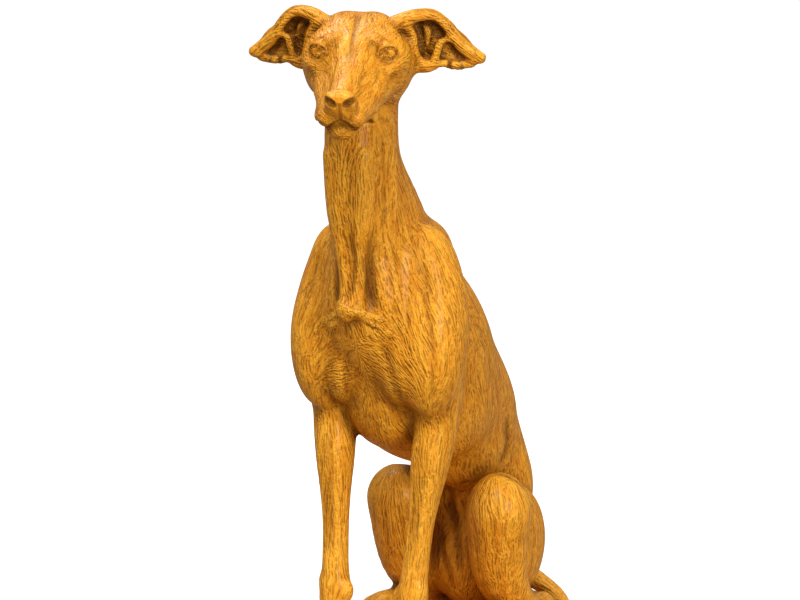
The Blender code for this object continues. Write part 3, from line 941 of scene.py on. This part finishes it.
def field(points, steps):
    """Distance from each point to the surface, below zero inside, as each step changes it in turn."""
    value = np.full(len(points), 40.0)
    for step in steps:
        low, high = step.box()
        near = ((points > low - step.reach) & (points < high + step.reach)).all(1).nonzero()[0]
        if len(near):
            value[near] = step.change(value[near], points[near])
    return value


def melt(points, steps, rounds, longest=2.0):
    """Draws loose points onto the surface along its slope. Also gives the last slopes."""
    probes = np.array([(1, -1, -1), (-1, -1, 1), (-1, 1, -1), (1, 1, 1)], float)
    spacing = 0.12
    for _ in range(rounds):
        samples = [field(points + spacing * probe, steps) for probe in probes]
        slope = sum(s[:, None] * probe for s, probe in zip(samples, probes)) / (4 * spacing)
        value = sum(samples) / 4
        steep = np.maximum((slope**2).sum(1), 0.1)
        points = points - np.clip(value / steep, -longest, longest)[:, None] * slope
    return points, slope / np.sqrt(steep)[:, None]


def snapped(cuts, forms):
    """The strokes laid onto the surface that they are cut into."""
    for cut in cuts:
        cut.rows = melt(cut.rows, forms, 6, 4.0)[0]
    return cuts


def clay_mesh(forms):
    """One closed ball for every lump of every form, all in one loose mesh."""
    builder = bmesh.new()
    bmesh.ops.create_uvsphere(builder, u_segments=18, v_segments=12, radius=1.0)
    ball = np.array([vert.co[:] for vert in builder.verts])
    faces = [[vert.index for vert in face.verts] for face in builder.faces]
    builder.free()
    points, polygons = [], []
    for form in forms:
        for centre, axes, radii in form.lumps():
            first = len(points) * len(ball)
            points.append((ball * (radii + LUMP_SWELL)) @ axes.T + centre)
            polygons += [[first + corner for corner in face] for face in faces]
    mesh = bpy.data.meshes.new("clay")
    mesh.from_pydata(np.concatenate(points).tolist(), [], polygons)
    return mesh


def fused(mesh, voxel):
    """The lumps' common skin, as a new mesh."""
    clay = bpy.data.objects.new("clay", mesh)
    bpy.context.scene.collection.objects.link(clay)
    fuse = clay.modifiers.new("fuse", "REMESH")
    fuse.mode = "VOXEL"
    fuse.voxel_size = voxel
    graph = bpy.context.evaluated_depsgraph_get()
    skin = bpy.data.meshes.new_from_object(clay.evaluated_get(graph))
    bpy.data.objects.remove(clay)
    return skin


def vertex_array(mesh):
    points = np.empty(len(mesh.vertices) * 3)
    mesh.vertices.foreach_get("co", points)
    return points.reshape(-1, 3)


def edge_array(mesh):
    edges = np.empty(len(mesh.edges) * 2, np.int64)
    mesh.edges.foreach_get("vertices", edges)
    return edges.reshape(-1, 2)


def neighbour_mean(values, edges):
    """For each point, the mean of a value over the points that an edge joins it to."""
    total = np.zeros_like(values)
    count = np.zeros(len(values))
    for one, other in ((0, 1), (1, 0)):
        for column in range(values.shape[1]):
            total[:, column] += np.bincount(
                edges[:, one], values[edges[:, other], column], len(values)
            )
        count += np.bincount(edges[:, one], minlength=len(values))
    return total / np.maximum(count, 1)[:, None]


def relax(points, edges, amount):
    return points + amount * (neighbour_mean(points, edges) - points)


def refine(mesh, level):
    """Splits every face that lies in a spot of at least this level."""
    builder = bmesh.new()
    builder.from_mesh(mesh)
    turn, centre = head_place()
    spots = [(turn @ place + centre, reach, times) for place, reach, times in FINE_HEAD]
    spots = [(Vector(place), reach) for place, reach, times in (*spots, *FINE_BODY) if times >= level]
    chosen = set()
    for face in builder.faces:
        middle = face.calc_center_median()
        if any((middle - place).length < reach for place, reach in spots):
            chosen.update(face.edges)
    bmesh.ops.subdivide_edges(builder, edges=list(chosen), cuts=1, use_grid_fill=True)
    builder.to_mesh(mesh)
    builder.free()


def carve(voxel):
    """The hound's finished skin in parts, with the slopes of its surface, the painted shade of its folds,
    and its ridges.
    """
    plain = figure()
    turn, centre = head_place()

    def on_head(steps):
        return [step.placed(turn, centre) for step in steps]

    folds = [form for side, spread in EARS for form in ear_folds(side, spread)]
    ear_cuts = [cut for side, spread in EARS for cut in ear_strokes(side, spread)]
    steps = plain + snapped(on_head(eye_sockets()), plain)
    steps += on_head(eyes() + lips() + folds) + small_forms()
    smooth_steps = list(steps)
    steps += snapped(on_head(face_strokes() + face_details() + ear_cuts), smooth_steps)
    steps += snapped(body_strokes() + strokes(), smooth_steps)
    steps += on_head(eye_strokes())
    skin = fused(clay_mesh(smooth_steps), voxel)
    points = melt(vertex_array(skin), smooth_steps, 3)[0]
    points = relax(points, edge_array(skin), 0.6)
    skin.vertices.foreach_set("co", points.ravel())
    skin.update()
    for level in (1, 2, 3):
        refine(skin, level)
    edges = edge_array(skin)
    points = melt(vertex_array(skin), steps, 2)[0]
    points = relax(points, edges, 0.5)
    points, normals = melt(points, steps, 2)
    # Painted shade in the folds: darker where the field rises slowly above the skin, and where narrow
    # strokes cut deep
    open_near = field(points + NEAR_PROBE * normals, smooth_steps) / NEAR_PROBE
    open_wide = field(points + WIDE_PROBE * normals, smooth_steps) / WIDE_PROBE
    lines = [step for step in steps if isinstance(step, Stroke) and step.width <= WIDEST_LINE]
    broad_steps = [step for step in steps if step not in lines]
    line_depth = field(points, steps) - field(points, broad_steps)
    hollows = 1.0 - 0.5 * (open_near + open_wide) + SHADE_PER_DEPTH * np.maximum(line_depth - SHADE_FROM_DEPTH, 0.0)
    hollows = np.clip(hollows, 0, 1)
    smooth = points
    for _ in range(4):
        smooth = relax(smooth, edges, 0.8)
    ridges = ((points - smooth) * normals).sum(1)
    skin.vertices.foreach_set("co", points.ravel())
    return skin, normals, hollows, ridges


def smooth_spots(points):
    """Near 1 on the eyes and the nose, which are polished and have no hair, and less on the face."""
    turn, centre = head_place()
    spots = [(EYE_CENTRE * (side, 1, 1), 9.5, 3.0, 0.95) for side in (1, -1)]
    spots += [((0, -88.5, -10.5), 11.0, 2.5, 0.9), ((0, -50, -6), 48.0, 16.0, 0.4)]
    mask = np.zeros(len(points))
    for place, reach, fade, share in spots:
        away = np.linalg.norm(points - turn @ np.array(place) - centre, axis=1)
        mask = np.maximum(mask, share * np.clip((reach - away) / fade, 0, 1))
    return mask


def ground_middle():
    """The middle of the base in parts, across and forward."""
    discs = np.array(STANDS, float)
    reach = discs[:, 2:]
    return 0.5 * ((discs[:, :2] - reach).min(0) + (discs[:, :2] + reach).max(0))


def add_values(mesh, name, kind, values):
    attribute = mesh.attributes.new(name, kind, "POINT")
    attribute.data.foreach_set("vector" if kind == "FLOAT_VECTOR" else "value", values.ravel())


def build_hound(sizes):
    """The hound on its base, with the hair's lie, the painted shade of its folds, its ridges and polish
    on its points.
    """
    unit = sizes.figure_height / FIGURE_PARTS
    skin, normals, folds, ridges = carve(sizes.clay_voxel / unit)
    points = vertex_array(skin)
    lie, whorls = hair_directions(points, normals)
    add_values(skin, "hair", "FLOAT_VECTOR", lie)
    add_values(skin, "fold_shade", "FLOAT", folds)
    # The painted shade of the folds, kept on each point
    add_values(skin, "ridge", "FLOAT", ridges)
    add_values(skin, "polished", "FLOAT", np.maximum(smooth_spots(points), whorls))
    middle = ground_middle() * unit
    lift = sizes.base_thickness - (PAW_SINK + GROUND) * unit
    skin.transform(Matrix.Translation((-middle[0], -middle[1], lift)) @ Matrix.Scale(unit, 4))
    skin.shade_smooth()
    skin.name = "carved_hound"
    hound = bpy.data.objects.new("carved_hound", skin)
    bpy.context.scene.collection.objects.link(hound)
    return hound


def build_base(sizes):
    """The low base: a hull round the discs under the feet, with worn rims and a gouged top."""
    unit = sizes.figure_height / FIGURE_PARTS
    middle = ground_middle()
    builder = bmesh.new()
    for x, y, radius in STANDS:
        rim = radius * unit + sizes.base_margin
        place = Vector(((x - middle[0]) * unit, (y - middle[1]) * unit, sizes.base_thickness / 2))
        bmesh.ops.create_cone(
            builder,
            segments=DISC_SEGMENTS,
            radius1=rim,
            radius2=rim,
            depth=sizes.base_thickness,
            matrix=Matrix.Translation(place),
        )
    hull = bmesh.ops.convex_hull(builder, input=builder.verts)
    loose = {v for v in hull["geom_interior"] + hull["geom_unused"] if isinstance(v, bmesh.types.BMVert)}
    bmesh.ops.delete(builder, geom=list(loose), context="VERTS")
    flat = math.radians(1.0)
    bmesh.ops.dissolve_limit(builder, angle_limit=flat, verts=builder.verts, edges=builder.edges)
    rims = [edge for edge in builder.edges if edge.calc_face_angle(0) > math.radians(60)]
    bmesh.ops.bevel(builder, geom=rims, offset=BASE_RIM, segments=4, profile=0.6, affect="EDGES")
    bmesh.ops.recalc_face_normals(builder, faces=builder.faces)
    mesh = bpy.data.meshes.new("carved_base")
    builder.to_mesh(mesh)
    builder.free()
    solid = fused(mesh, BASE_CELL)
    points = vertex_array(solid)
    normals = np.empty(len(solid.vertices) * 3)
    solid.vertices.foreach_get("normal", normals)
    normals = normals.reshape(-1, 3)
    # Shallow gouge marks run round the block, and never above its own faces
    x, y, z = points.T
    along = 420 * x + 10.8 * np.sin(34 * y) + 60 * y
    across = 150 * y + 8 * np.sin(60 * x)
    marks = GOUGE_DEPTH * (1 + np.sin(along) * np.sin(across)) * np.clip(z / GOUGE_FADE, 0, 1)
    points = points - normals * marks[:, None]
    points[:, 2] = np.clip(points[:, 2], 0.0, sizes.base_thickness)
    solid.vertices.foreach_set("co", points.ravel())
    lie = np.tile((0.15, 1.0, 0.0), (len(points), 1))
    add_values(solid, "hair", "FLOAT_VECTOR", lie)
    add_values(solid, "fold_shade", "FLOAT", np.zeros(len(points)))
    add_values(solid, "ridge", "FLOAT", np.zeros(len(points)))
    add_values(solid, "polished", "FLOAT", np.full(len(points), 0.4))
    solid.shade_smooth()
    base = bpy.data.objects.new("carved_base", solid)
    bpy.context.scene.collection.objects.link(base)
    return base


class NodeMaker:
    """Adds nodes to a tree and joins them, so that a material reads as a list of steps."""

    def __init__(self, tree):
        self.tree = tree

    def add(self, kind, inputs=None, **settings):
        node = self.tree.nodes.new(kind)
        for name, value in settings.items():
            setattr(node, name, value)
        for name, value in (inputs or {}).items():
            if isinstance(value, bpy.types.NodeSocket):
                self.tree.links.new(value, node.inputs[name])
            else:
                node.inputs[name].default_value = value
        return node

    def maths(self, operation, first, second=0.0, third=0.0, clamp=False):
        inputs = {0: first, 1: second, 2: third}
        return self.add("ShaderNodeMath", inputs, operation=operation, use_clamp=clamp).outputs[0]

    def vectors(self, operation, first, second=(0, 0, 0), third=(0, 0, 0)):
        inputs = {0: first, 1: second, 2: third}
        return self.add("ShaderNodeVectorMath", inputs, operation=operation).outputs[0]

    def noise(self, place, scale, detail, distortion=0.0):
        inputs = {"Vector": place, "Scale": scale, "Detail": detail, "Distortion": distortion}
        return self.add("ShaderNodeTexNoise", inputs)

    def value_on(self, name):
        """The value of this name that the mesh's points hold."""
        return self.add("ShaderNodeAttribute", attribute_name=name).outputs["Fac"]

    def spread(self, value, low, high, to_low=0.0, to_high=1.0):
        """The value's range from low to high, stretched to another range and held inside it."""
        node = self.add(
            "ShaderNodeMapRange",
            {"Value": value, "From Min": low, "From Max": high, "To Min": to_low, "To Max": to_high},
        )
        return node.outputs["Result"]

    def blend(self, share, first, second):
        """The first colour, and the second where the share is 1."""
        # 0, 6 and 7 are the sockets of a colour mix: its factor and its two colours
        return self.add("ShaderNodeMix", {0: share, 6: first, 7: second}, data_type="RGBA").outputs[2]


def new_group(name, inputs, outputs):
    """An empty shader node group with these sockets, its maker and its two end nodes."""
    group = bpy.data.node_groups.new(name, "ShaderNodeTree")
    for label, kind, default in inputs:
        socket = group.interface.new_socket(label, in_out="INPUT", socket_type=kind)
        if default is not None:
            socket.default_value = default
    for label, kind in outputs:
        group.interface.new_socket(label, in_out="OUTPUT", socket_type=kind)
    start = group.nodes.new("NodeGroupInput")
    end = group.nodes.new("NodeGroupOutput")
    return group, NodeMaker(group), start.outputs, end.inputs


def hair_stroke_group():
    """Fine gouge strokes that follow the hair: noise averaged along the lie of the hair."""
    group, make, given, result = new_group(
        "hair_strokes",
        [
            ("Position", "NodeSocketVector", None),
            ("Lie", "NodeSocketVector", None),
            ("Fineness", "NodeSocketFloat", 620.0),
            ("Length", "NodeSocketFloat", 0.007),
        ],
        [("Height", "NodeSocketFloat"), ("Streak", "NodeSocketFloat")],
    )
    sway = make.vectors("SUBTRACT", make.noise(given["Position"], 70.0, 1.0).outputs["Color"], (0.5,) * 3)
    way = make.vectors("NORMALIZE", make.vectors("MULTIPLY_ADD", sway, (HAIR_SWAY,) * 3, given["Lie"]))
    total = None
    for sample in range(HAIR_SAMPLES):
        step = make.maths("MULTIPLY", given["Length"], sample / (HAIR_SAMPLES - 1) - 0.5)
        offset = make.add("ShaderNodeVectorMath", {0: way, "Scale": step}, operation="SCALE").outputs[0]
        place = make.vectors("ADD", given["Position"], offset)
        noise = make.noise(place, given["Fineness"], 0.0).outputs["Fac"]
        total = noise if total is None else make.maths("ADD", total, noise)
    mean = make.maths("DIVIDE", total, float(HAIR_SAMPLES))
    streak = make.spread(mean, 0.435, 0.565)
    # Each stroke is a round-bottomed cut with a crisp edge
    group.links.new(make.maths("POWER", streak, 0.7), result["Height"])
    group.links.new(streak, result["Streak"])
    return group


def wood_grain_group():
    """Long soft bands, short pores and a slow change of tone through the block."""
    group, make, given, result = new_group(
        "wood_grain",
        [("Position", "NodeSocketVector", None), ("Stretch", "NodeSocketVector", (1.0, 1.0, 0.12))],
        [("Bands", "NodeSocketFloat"), ("Pores", "NodeSocketFloat"), ("Tone", "NodeSocketFloat")],
    )
    along = make.vectors("MULTIPLY", given["Position"], given["Stretch"])
    bands = make.noise(along, 130.0, 4.0, 0.6)
    pores = make.noise(along, 900.0, 2.0)
    tone = make.noise(given["Position"], 16.0, 3.0)
    for name, noise, low in (("Bands", bands, 0.3), ("Pores", pores, 0.6), ("Tone", tone, 0.3)):
        group.links.new(make.spread(noise.outputs["Fac"], low, 0.7), result[name])
    return group


def honey_wood(name, finish, groups, stroke_depth, stretch):
    """Waxed honey-coloured wood: painted shade in the folds and hollows, pale and glossy on the worn
    ridges.
    """
    material = bpy.data.materials.new(name)
    material.use_nodes = True
    tree = material.node_tree
    make = NodeMaker(tree)
    shader = tree.nodes["Principled BSDF"]
    position = make.add("ShaderNodeTexCoord").outputs["Object"]
    lie = make.add("ShaderNodeAttribute", attribute_name="hair").outputs["Vector"]
    fold_shade, ridge, polished = make.value_on("fold_shade"), make.value_on("ridge"), make.value_on("polished")
    fine = make.add("ShaderNodeGroup", node_tree=groups["hair_strokes"])
    coarse = make.add("ShaderNodeGroup", node_tree=groups["hair_strokes"])
    for node, (fineness, length) in ((fine, FINE_HAIR), (coarse, BROAD_HAIR)):
        tree.links.new(position, node.inputs["Position"])
        tree.links.new(lie, node.inputs["Lie"])
        node.inputs["Fineness"].default_value = fineness
        node.inputs["Length"].default_value = length
    grain = make.add("ShaderNodeGroup", node_tree=groups["wood_grain"])
    tree.links.new(position, grain.inputs["Position"])
    grain.inputs["Stretch"].default_value = stretch
    rough_wood = make.maths("SUBTRACT", 1.0, polished)
    cut = make.maths("MULTIPLY", fine.outputs["Height"], rough_wood)
    furrow = make.maths("MULTIPLY", make.spread(fine.outputs["Streak"], 0.02, 0.42, 1.0, 0.0), rough_wood)
    # Colour: bands of the grain, then the furrows, the worn ridges and the painted shade of the folds
    colour = make.blend(grain.outputs["Bands"], (*finish.wood_deep, 1), (*finish.wood, 1))
    worn = make.spread(coarse.outputs["Streak"], 0.25, 1.0, 0.0, 0.55)
    colour = make.blend(worn, colour, (*finish.wood_pale, 1))
    warm = make.spread(grain.outputs["Tone"], 0.0, 1.0, 0.0, 0.30)
    colour = make.blend(warm, colour, (*finish.wood_red, 1))
    colour = make.blend(make.maths("MULTIPLY", furrow, 0.52), colour, (*finish.furrow, 1))
    colour = make.blend(make.maths("MULTIPLY", grain.outputs["Pores"], 0.35), colour, (*finish.furrow, 1))
    colour = make.blend(make.spread(ridge, 0.05, 0.5, 0.0, 0.45), colour, (*finish.wood_pale, 1))
    # Painted shade: the hollow spots of the skin and its deep folds are darkened towards the shadow
    # colour
    hollow = make.spread(ridge, -0.05, -0.6, 0.0, 0.6)
    depth = make.maths("MAXIMUM", make.spread(fold_shade, 0.12, 0.75, 0.0, 0.85), hollow)
    colour = make.blend(depth, colour, (*finish.shadow, 1))
    tree.links.new(colour, shader.inputs["Base Color"])
    gloss = make.spread(cut, 0.0, 1.0, finish.roughness + 0.14, finish.roughness - 0.05)
    gloss = make.maths("MULTIPLY_ADD", depth, 0.25, gloss)
    gloss = make.maths("MULTIPLY_ADD", polished, -0.14, gloss, clamp=True)
    tree.links.new(gloss, shader.inputs["Roughness"])
    shader.inputs["Coat Weight"].default_value = 0.12
    shader.inputs["Coat Roughness"].default_value = 0.24
    shader.inputs["Specular Tint"].default_value = (1.0, 0.64, 0.18, 1)
    relief = make.maths("MULTIPLY_ADD", coarse.outputs["Streak"], 0.4, cut)
    relief = make.maths("MULTIPLY_ADD", grain.outputs["Pores"], -0.12, relief)
    strength = finish.stroke_strength
    bump = make.add("ShaderNodeBump", {"Height": relief, "Strength": strength, "Distance": stroke_depth})
    tree.links.new(bump.outputs["Normal"], shader.inputs["Normal"])
    return material


def finish_materials():
    """The hound's and the base's materials, made once."""
    if "carved_hair_wood" not in bpy.data.materials:
        finish = bpy.context.scene.hound_finish
        groups = {"hair_strokes": hair_stroke_group(), "wood_grain": wood_grain_group()}
        honey_wood("carved_hair_wood", finish, groups, finish.stroke_depth, (1.0, 1.0, 0.12))
        honey_wood("carved_base_wood", finish, groups, finish.stroke_depth * 0.5, (1.0, 0.12, 1.0))
    return bpy.data.materials["carved_hair_wood"], bpy.data.materials["carved_base_wood"]


def pale_floor():
    """Matt white to the eye, and dimmer in the light that it throws back onto the wood."""
    material = bpy.data.materials.new("pale_floor")
    material.use_nodes = True
    make = NodeMaker(material.node_tree)
    shader = material.node_tree.nodes["Principled BSDF"]
    rays = make.add("ShaderNodeLightPath")
    tone = make.blend(rays.outputs["Is Camera Ray"], (0.22, 0.17, 0.10, 1), (0.92, 0.92, 0.92, 1))
    material.node_tree.links.new(tone, shader.inputs["Base Color"])
    shader.inputs["Roughness"].default_value = 0.9
    return material


def add_floor():
    mesh = bpy.data.meshes.new("floor")
    corners = [(x * FLOOR_REACH, y * FLOOR_REACH, 0) for x, y in ((-1, -1), (1, -1), (1, 1), (-1, 1))]
    mesh.from_pydata(corners, [], [(0, 1, 2, 3)])
    floor = bpy.data.objects.new("floor", mesh)
    floor.data.materials.append(pale_floor())
    bpy.context.scene.collection.objects.link(floor)


def add_room():
    """A room that is white to the eye and gives a soft light, with less of it in reflections."""
    world = bpy.data.worlds.new("pale_room")
    world.use_nodes = True
    bpy.context.scene.world = world
    tree = world.node_tree
    make = NodeMaker(tree)
    sky = tree.nodes["Background"]
    sky.inputs["Color"].default_value = (1.0, 1.0, 1.0, 1)
    seen = make.add("ShaderNodeBackground", {"Color": (1.0, 1.0, 1.0, 1), "Strength": 1.0})
    rays = make.add("ShaderNodeLightPath").outputs
    shown = {0: rays["Is Camera Ray"], 1: sky.outputs[0], 2: seen.outputs[0]}
    choose = make.add("ShaderNodeMixShader", shown)
    tree.links.new(choose.outputs[0], tree.nodes["World Output"].inputs[0])
    loss = (GLOSSY_ROOM - 1) * ROOM_LIGHT
    dim = make.maths("MULTIPLY_ADD", rays["Is Glossy Ray"], loss, ROOM_LIGHT)
    tree.links.new(dim, sky.inputs["Strength"])


def add_key_light():
    key = bpy.data.lights.new("key", "SUN")
    key.energy = KEY_STRENGTH
    key.angle = math.radians(KEY_SOFTNESS)
    lamp = bpy.data.objects.new("key", key)
    lamp.rotation_euler = Euler((math.radians(90 - KEY_HEIGHT), 0, math.radians(KEY_AZIMUTH)))
    bpy.context.scene.collection.objects.link(lamp)


def add_soft_lamp(name, place, watts, size):
    light = bpy.data.lights.new(name, "AREA")
    light.energy = watts
    light.size = size
    lamp = bpy.data.objects.new(name, light)
    lamp.location = place
    lamp.rotation_euler = (Vector(LAMP_AIM) - Vector(place)).to_track_quat("-Z", "Y").to_euler()
    bpy.context.scene.collection.objects.link(lamp)


def add_camera():
    azimuth, elevation = math.radians(CAMERA_AZIMUTH), math.radians(CAMERA_ELEVATION)
    level = math.cos(elevation)
    back = Vector((math.sin(azimuth) * level, -math.cos(azimuth) * level, math.sin(elevation)))
    lens = bpy.data.cameras.new("camera")
    lens.sensor_width = 36
    lens.lens = CAMERA_LENS
    lens.clip_start = 0.01
    camera = bpy.data.objects.new("camera", lens)
    camera.location = Vector(CAMERA_TARGET) + back * CAMERA_DISTANCE
    camera.rotation_euler = (-back).to_track_quat("-Z", "Y").to_euler()
    bpy.context.scene.collection.objects.link(camera)
    bpy.context.scene.camera = camera


def build_stage():
    add_floor()
    add_room()
    add_key_light()
    for name, place, watts, size in SOFT_LAMPS:
        add_soft_lamp(name, place, watts, size)
    bpy.context.scene.view_settings.view_transform = "Standard"
    add_camera()


def tint(name, description, colour):
    return FloatVectorProperty(name=name, description=description, subtype="COLOR", default=colour)


class HoundSizes(bpy.types.PropertyGroup):
    """Sizes of the figure and its base."""

    figure_height: FloatProperty(
        name="Figure height",
        description="From the top of the base to the top of the ears",
        default=0.392,
        unit="LENGTH",
    )
    base_thickness: FloatProperty(
        name="Base thickness", description="Height of the low base", default=0.014, unit="LENGTH"
    )
    base_margin: FloatProperty(
        name="Base margin",
        description="From the feet and tail to the edge of the base",
        default=0.012,
        unit="LENGTH",
    )
    clay_voxel: FloatProperty(
        name="Skin fineness",
        description="Size of the cells that fuse the skin before it is refined",
        default=0.0023,
        unit="LENGTH",
    )


class HoundFinish(bpy.types.PropertyGroup):
    """Colours of the wood, with the painted shade of its folds, and the depth of its carved hair."""

    wood: tint("Wood", "Main colour of the wood", (0.66, 0.258, 0.013))
    wood_deep: tint("Deep bands", "Darker bands of the grain", (0.52, 0.175, 0.007))
    wood_pale: tint("Worn wood", "Pale wood on the ridges", (0.82, 0.40, 0.035))
    wood_red: tint("Warm tone", "Warmer patches in the block", (0.56, 0.19, 0.009))
    furrow: tint("Furrows", "Wax left in the cut hair", (0.15, 0.036, 0.001))
    # Painted shade: the colour that the deep folds and hollows are darkened towards
    shadow: tint("Folds", "Stain in the deep folds", (0.09, 0.02, 0.0005))
    roughness: FloatProperty(
        name="Roughness", description="Roughness of the waxed wood", default=0.38, min=0.1, max=0.9
    )
    stroke_depth: FloatProperty(
        name="Stroke depth",
        description="Depth of the carved hair",
        default=0.0008,
        unit="LENGTH",
        precision=5,
    )
    stroke_strength: FloatProperty(
        name="Stroke strength",
        description="How strongly the strokes catch light",
        default=1.0,
        min=0,
        max=1,
    )


class OBJECT_OT_carve_hound(bpy.types.Operator):
    """Carve the seated hound"""

    bl_idname = "object.carve_hound"
    bl_label = "Carve the hound"

    def execute(self, context):
        hound = build_hound(context.scene.hound_sizes)
        hound.data.materials.append(finish_materials()[0])
        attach(hound, "root")
        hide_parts("greyhound")
        return {"FINISHED"}


class OBJECT_OT_carve_base(bpy.types.Operator):
    """Carve the low base under the hound"""

    bl_idname = "object.carve_hound_base"
    bl_label = "Carve the base"

    def execute(self, context):
        base = build_base(context.scene.hound_sizes)
        base.data.materials.append(finish_materials()[1])
        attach(base, "root")
        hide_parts("greyhound")
        return {"FINISHED"}


class OBJECT_OT_light_hound(bpy.types.Operator):
    """Set the pale floor, the soft lights and the camera"""

    bl_idname = "object.light_hound"
    bl_label = "Set the stage"

    def execute(self, context):
        build_stage()
        return {"FINISHED"}


class VIEW3D_PT_carved_hound(bpy.types.Panel):
    bl_label = "Carved Hound"
    bl_idname = "VIEW3D_PT_carved_hound"
    bl_space_type = "VIEW_3D"
    bl_region_type = "UI"
    bl_category = "Carved Hound"

    def draw(self, context):
        for group in (context.scene.hound_sizes, context.scene.hound_finish):
            column = self.layout.column()
            for name in group.__annotations__:
                column.prop(group, name)
        for operator in OPERATORS:
            self.layout.operator(operator.bl_idname)


OPERATORS = (OBJECT_OT_carve_hound, OBJECT_OT_carve_base, OBJECT_OT_light_hound)
CLASSES = (HoundSizes, HoundFinish, *OPERATORS, VIEW3D_PT_carved_hound)


def register():
    for item in CLASSES:
        bpy.utils.register_class(item)
    bpy.types.Scene.hound_sizes = PointerProperty(type=HoundSizes)
    bpy.types.Scene.hound_finish = PointerProperty(type=HoundFinish)


def unregister():
    del bpy.types.Scene.hound_finish
    del bpy.types.Scene.hound_sizes
    for item in reversed(CLASSES):
        bpy.utils.unregister_class(item)


def main():
    register()
    bpy.ops.object.light_hound()
    bpy.ops.object.carve_hound()
    bpy.ops.object.carve_hound_base()
    bpy.context.view_layer.update()


if __name__ == "__main__":
    main()
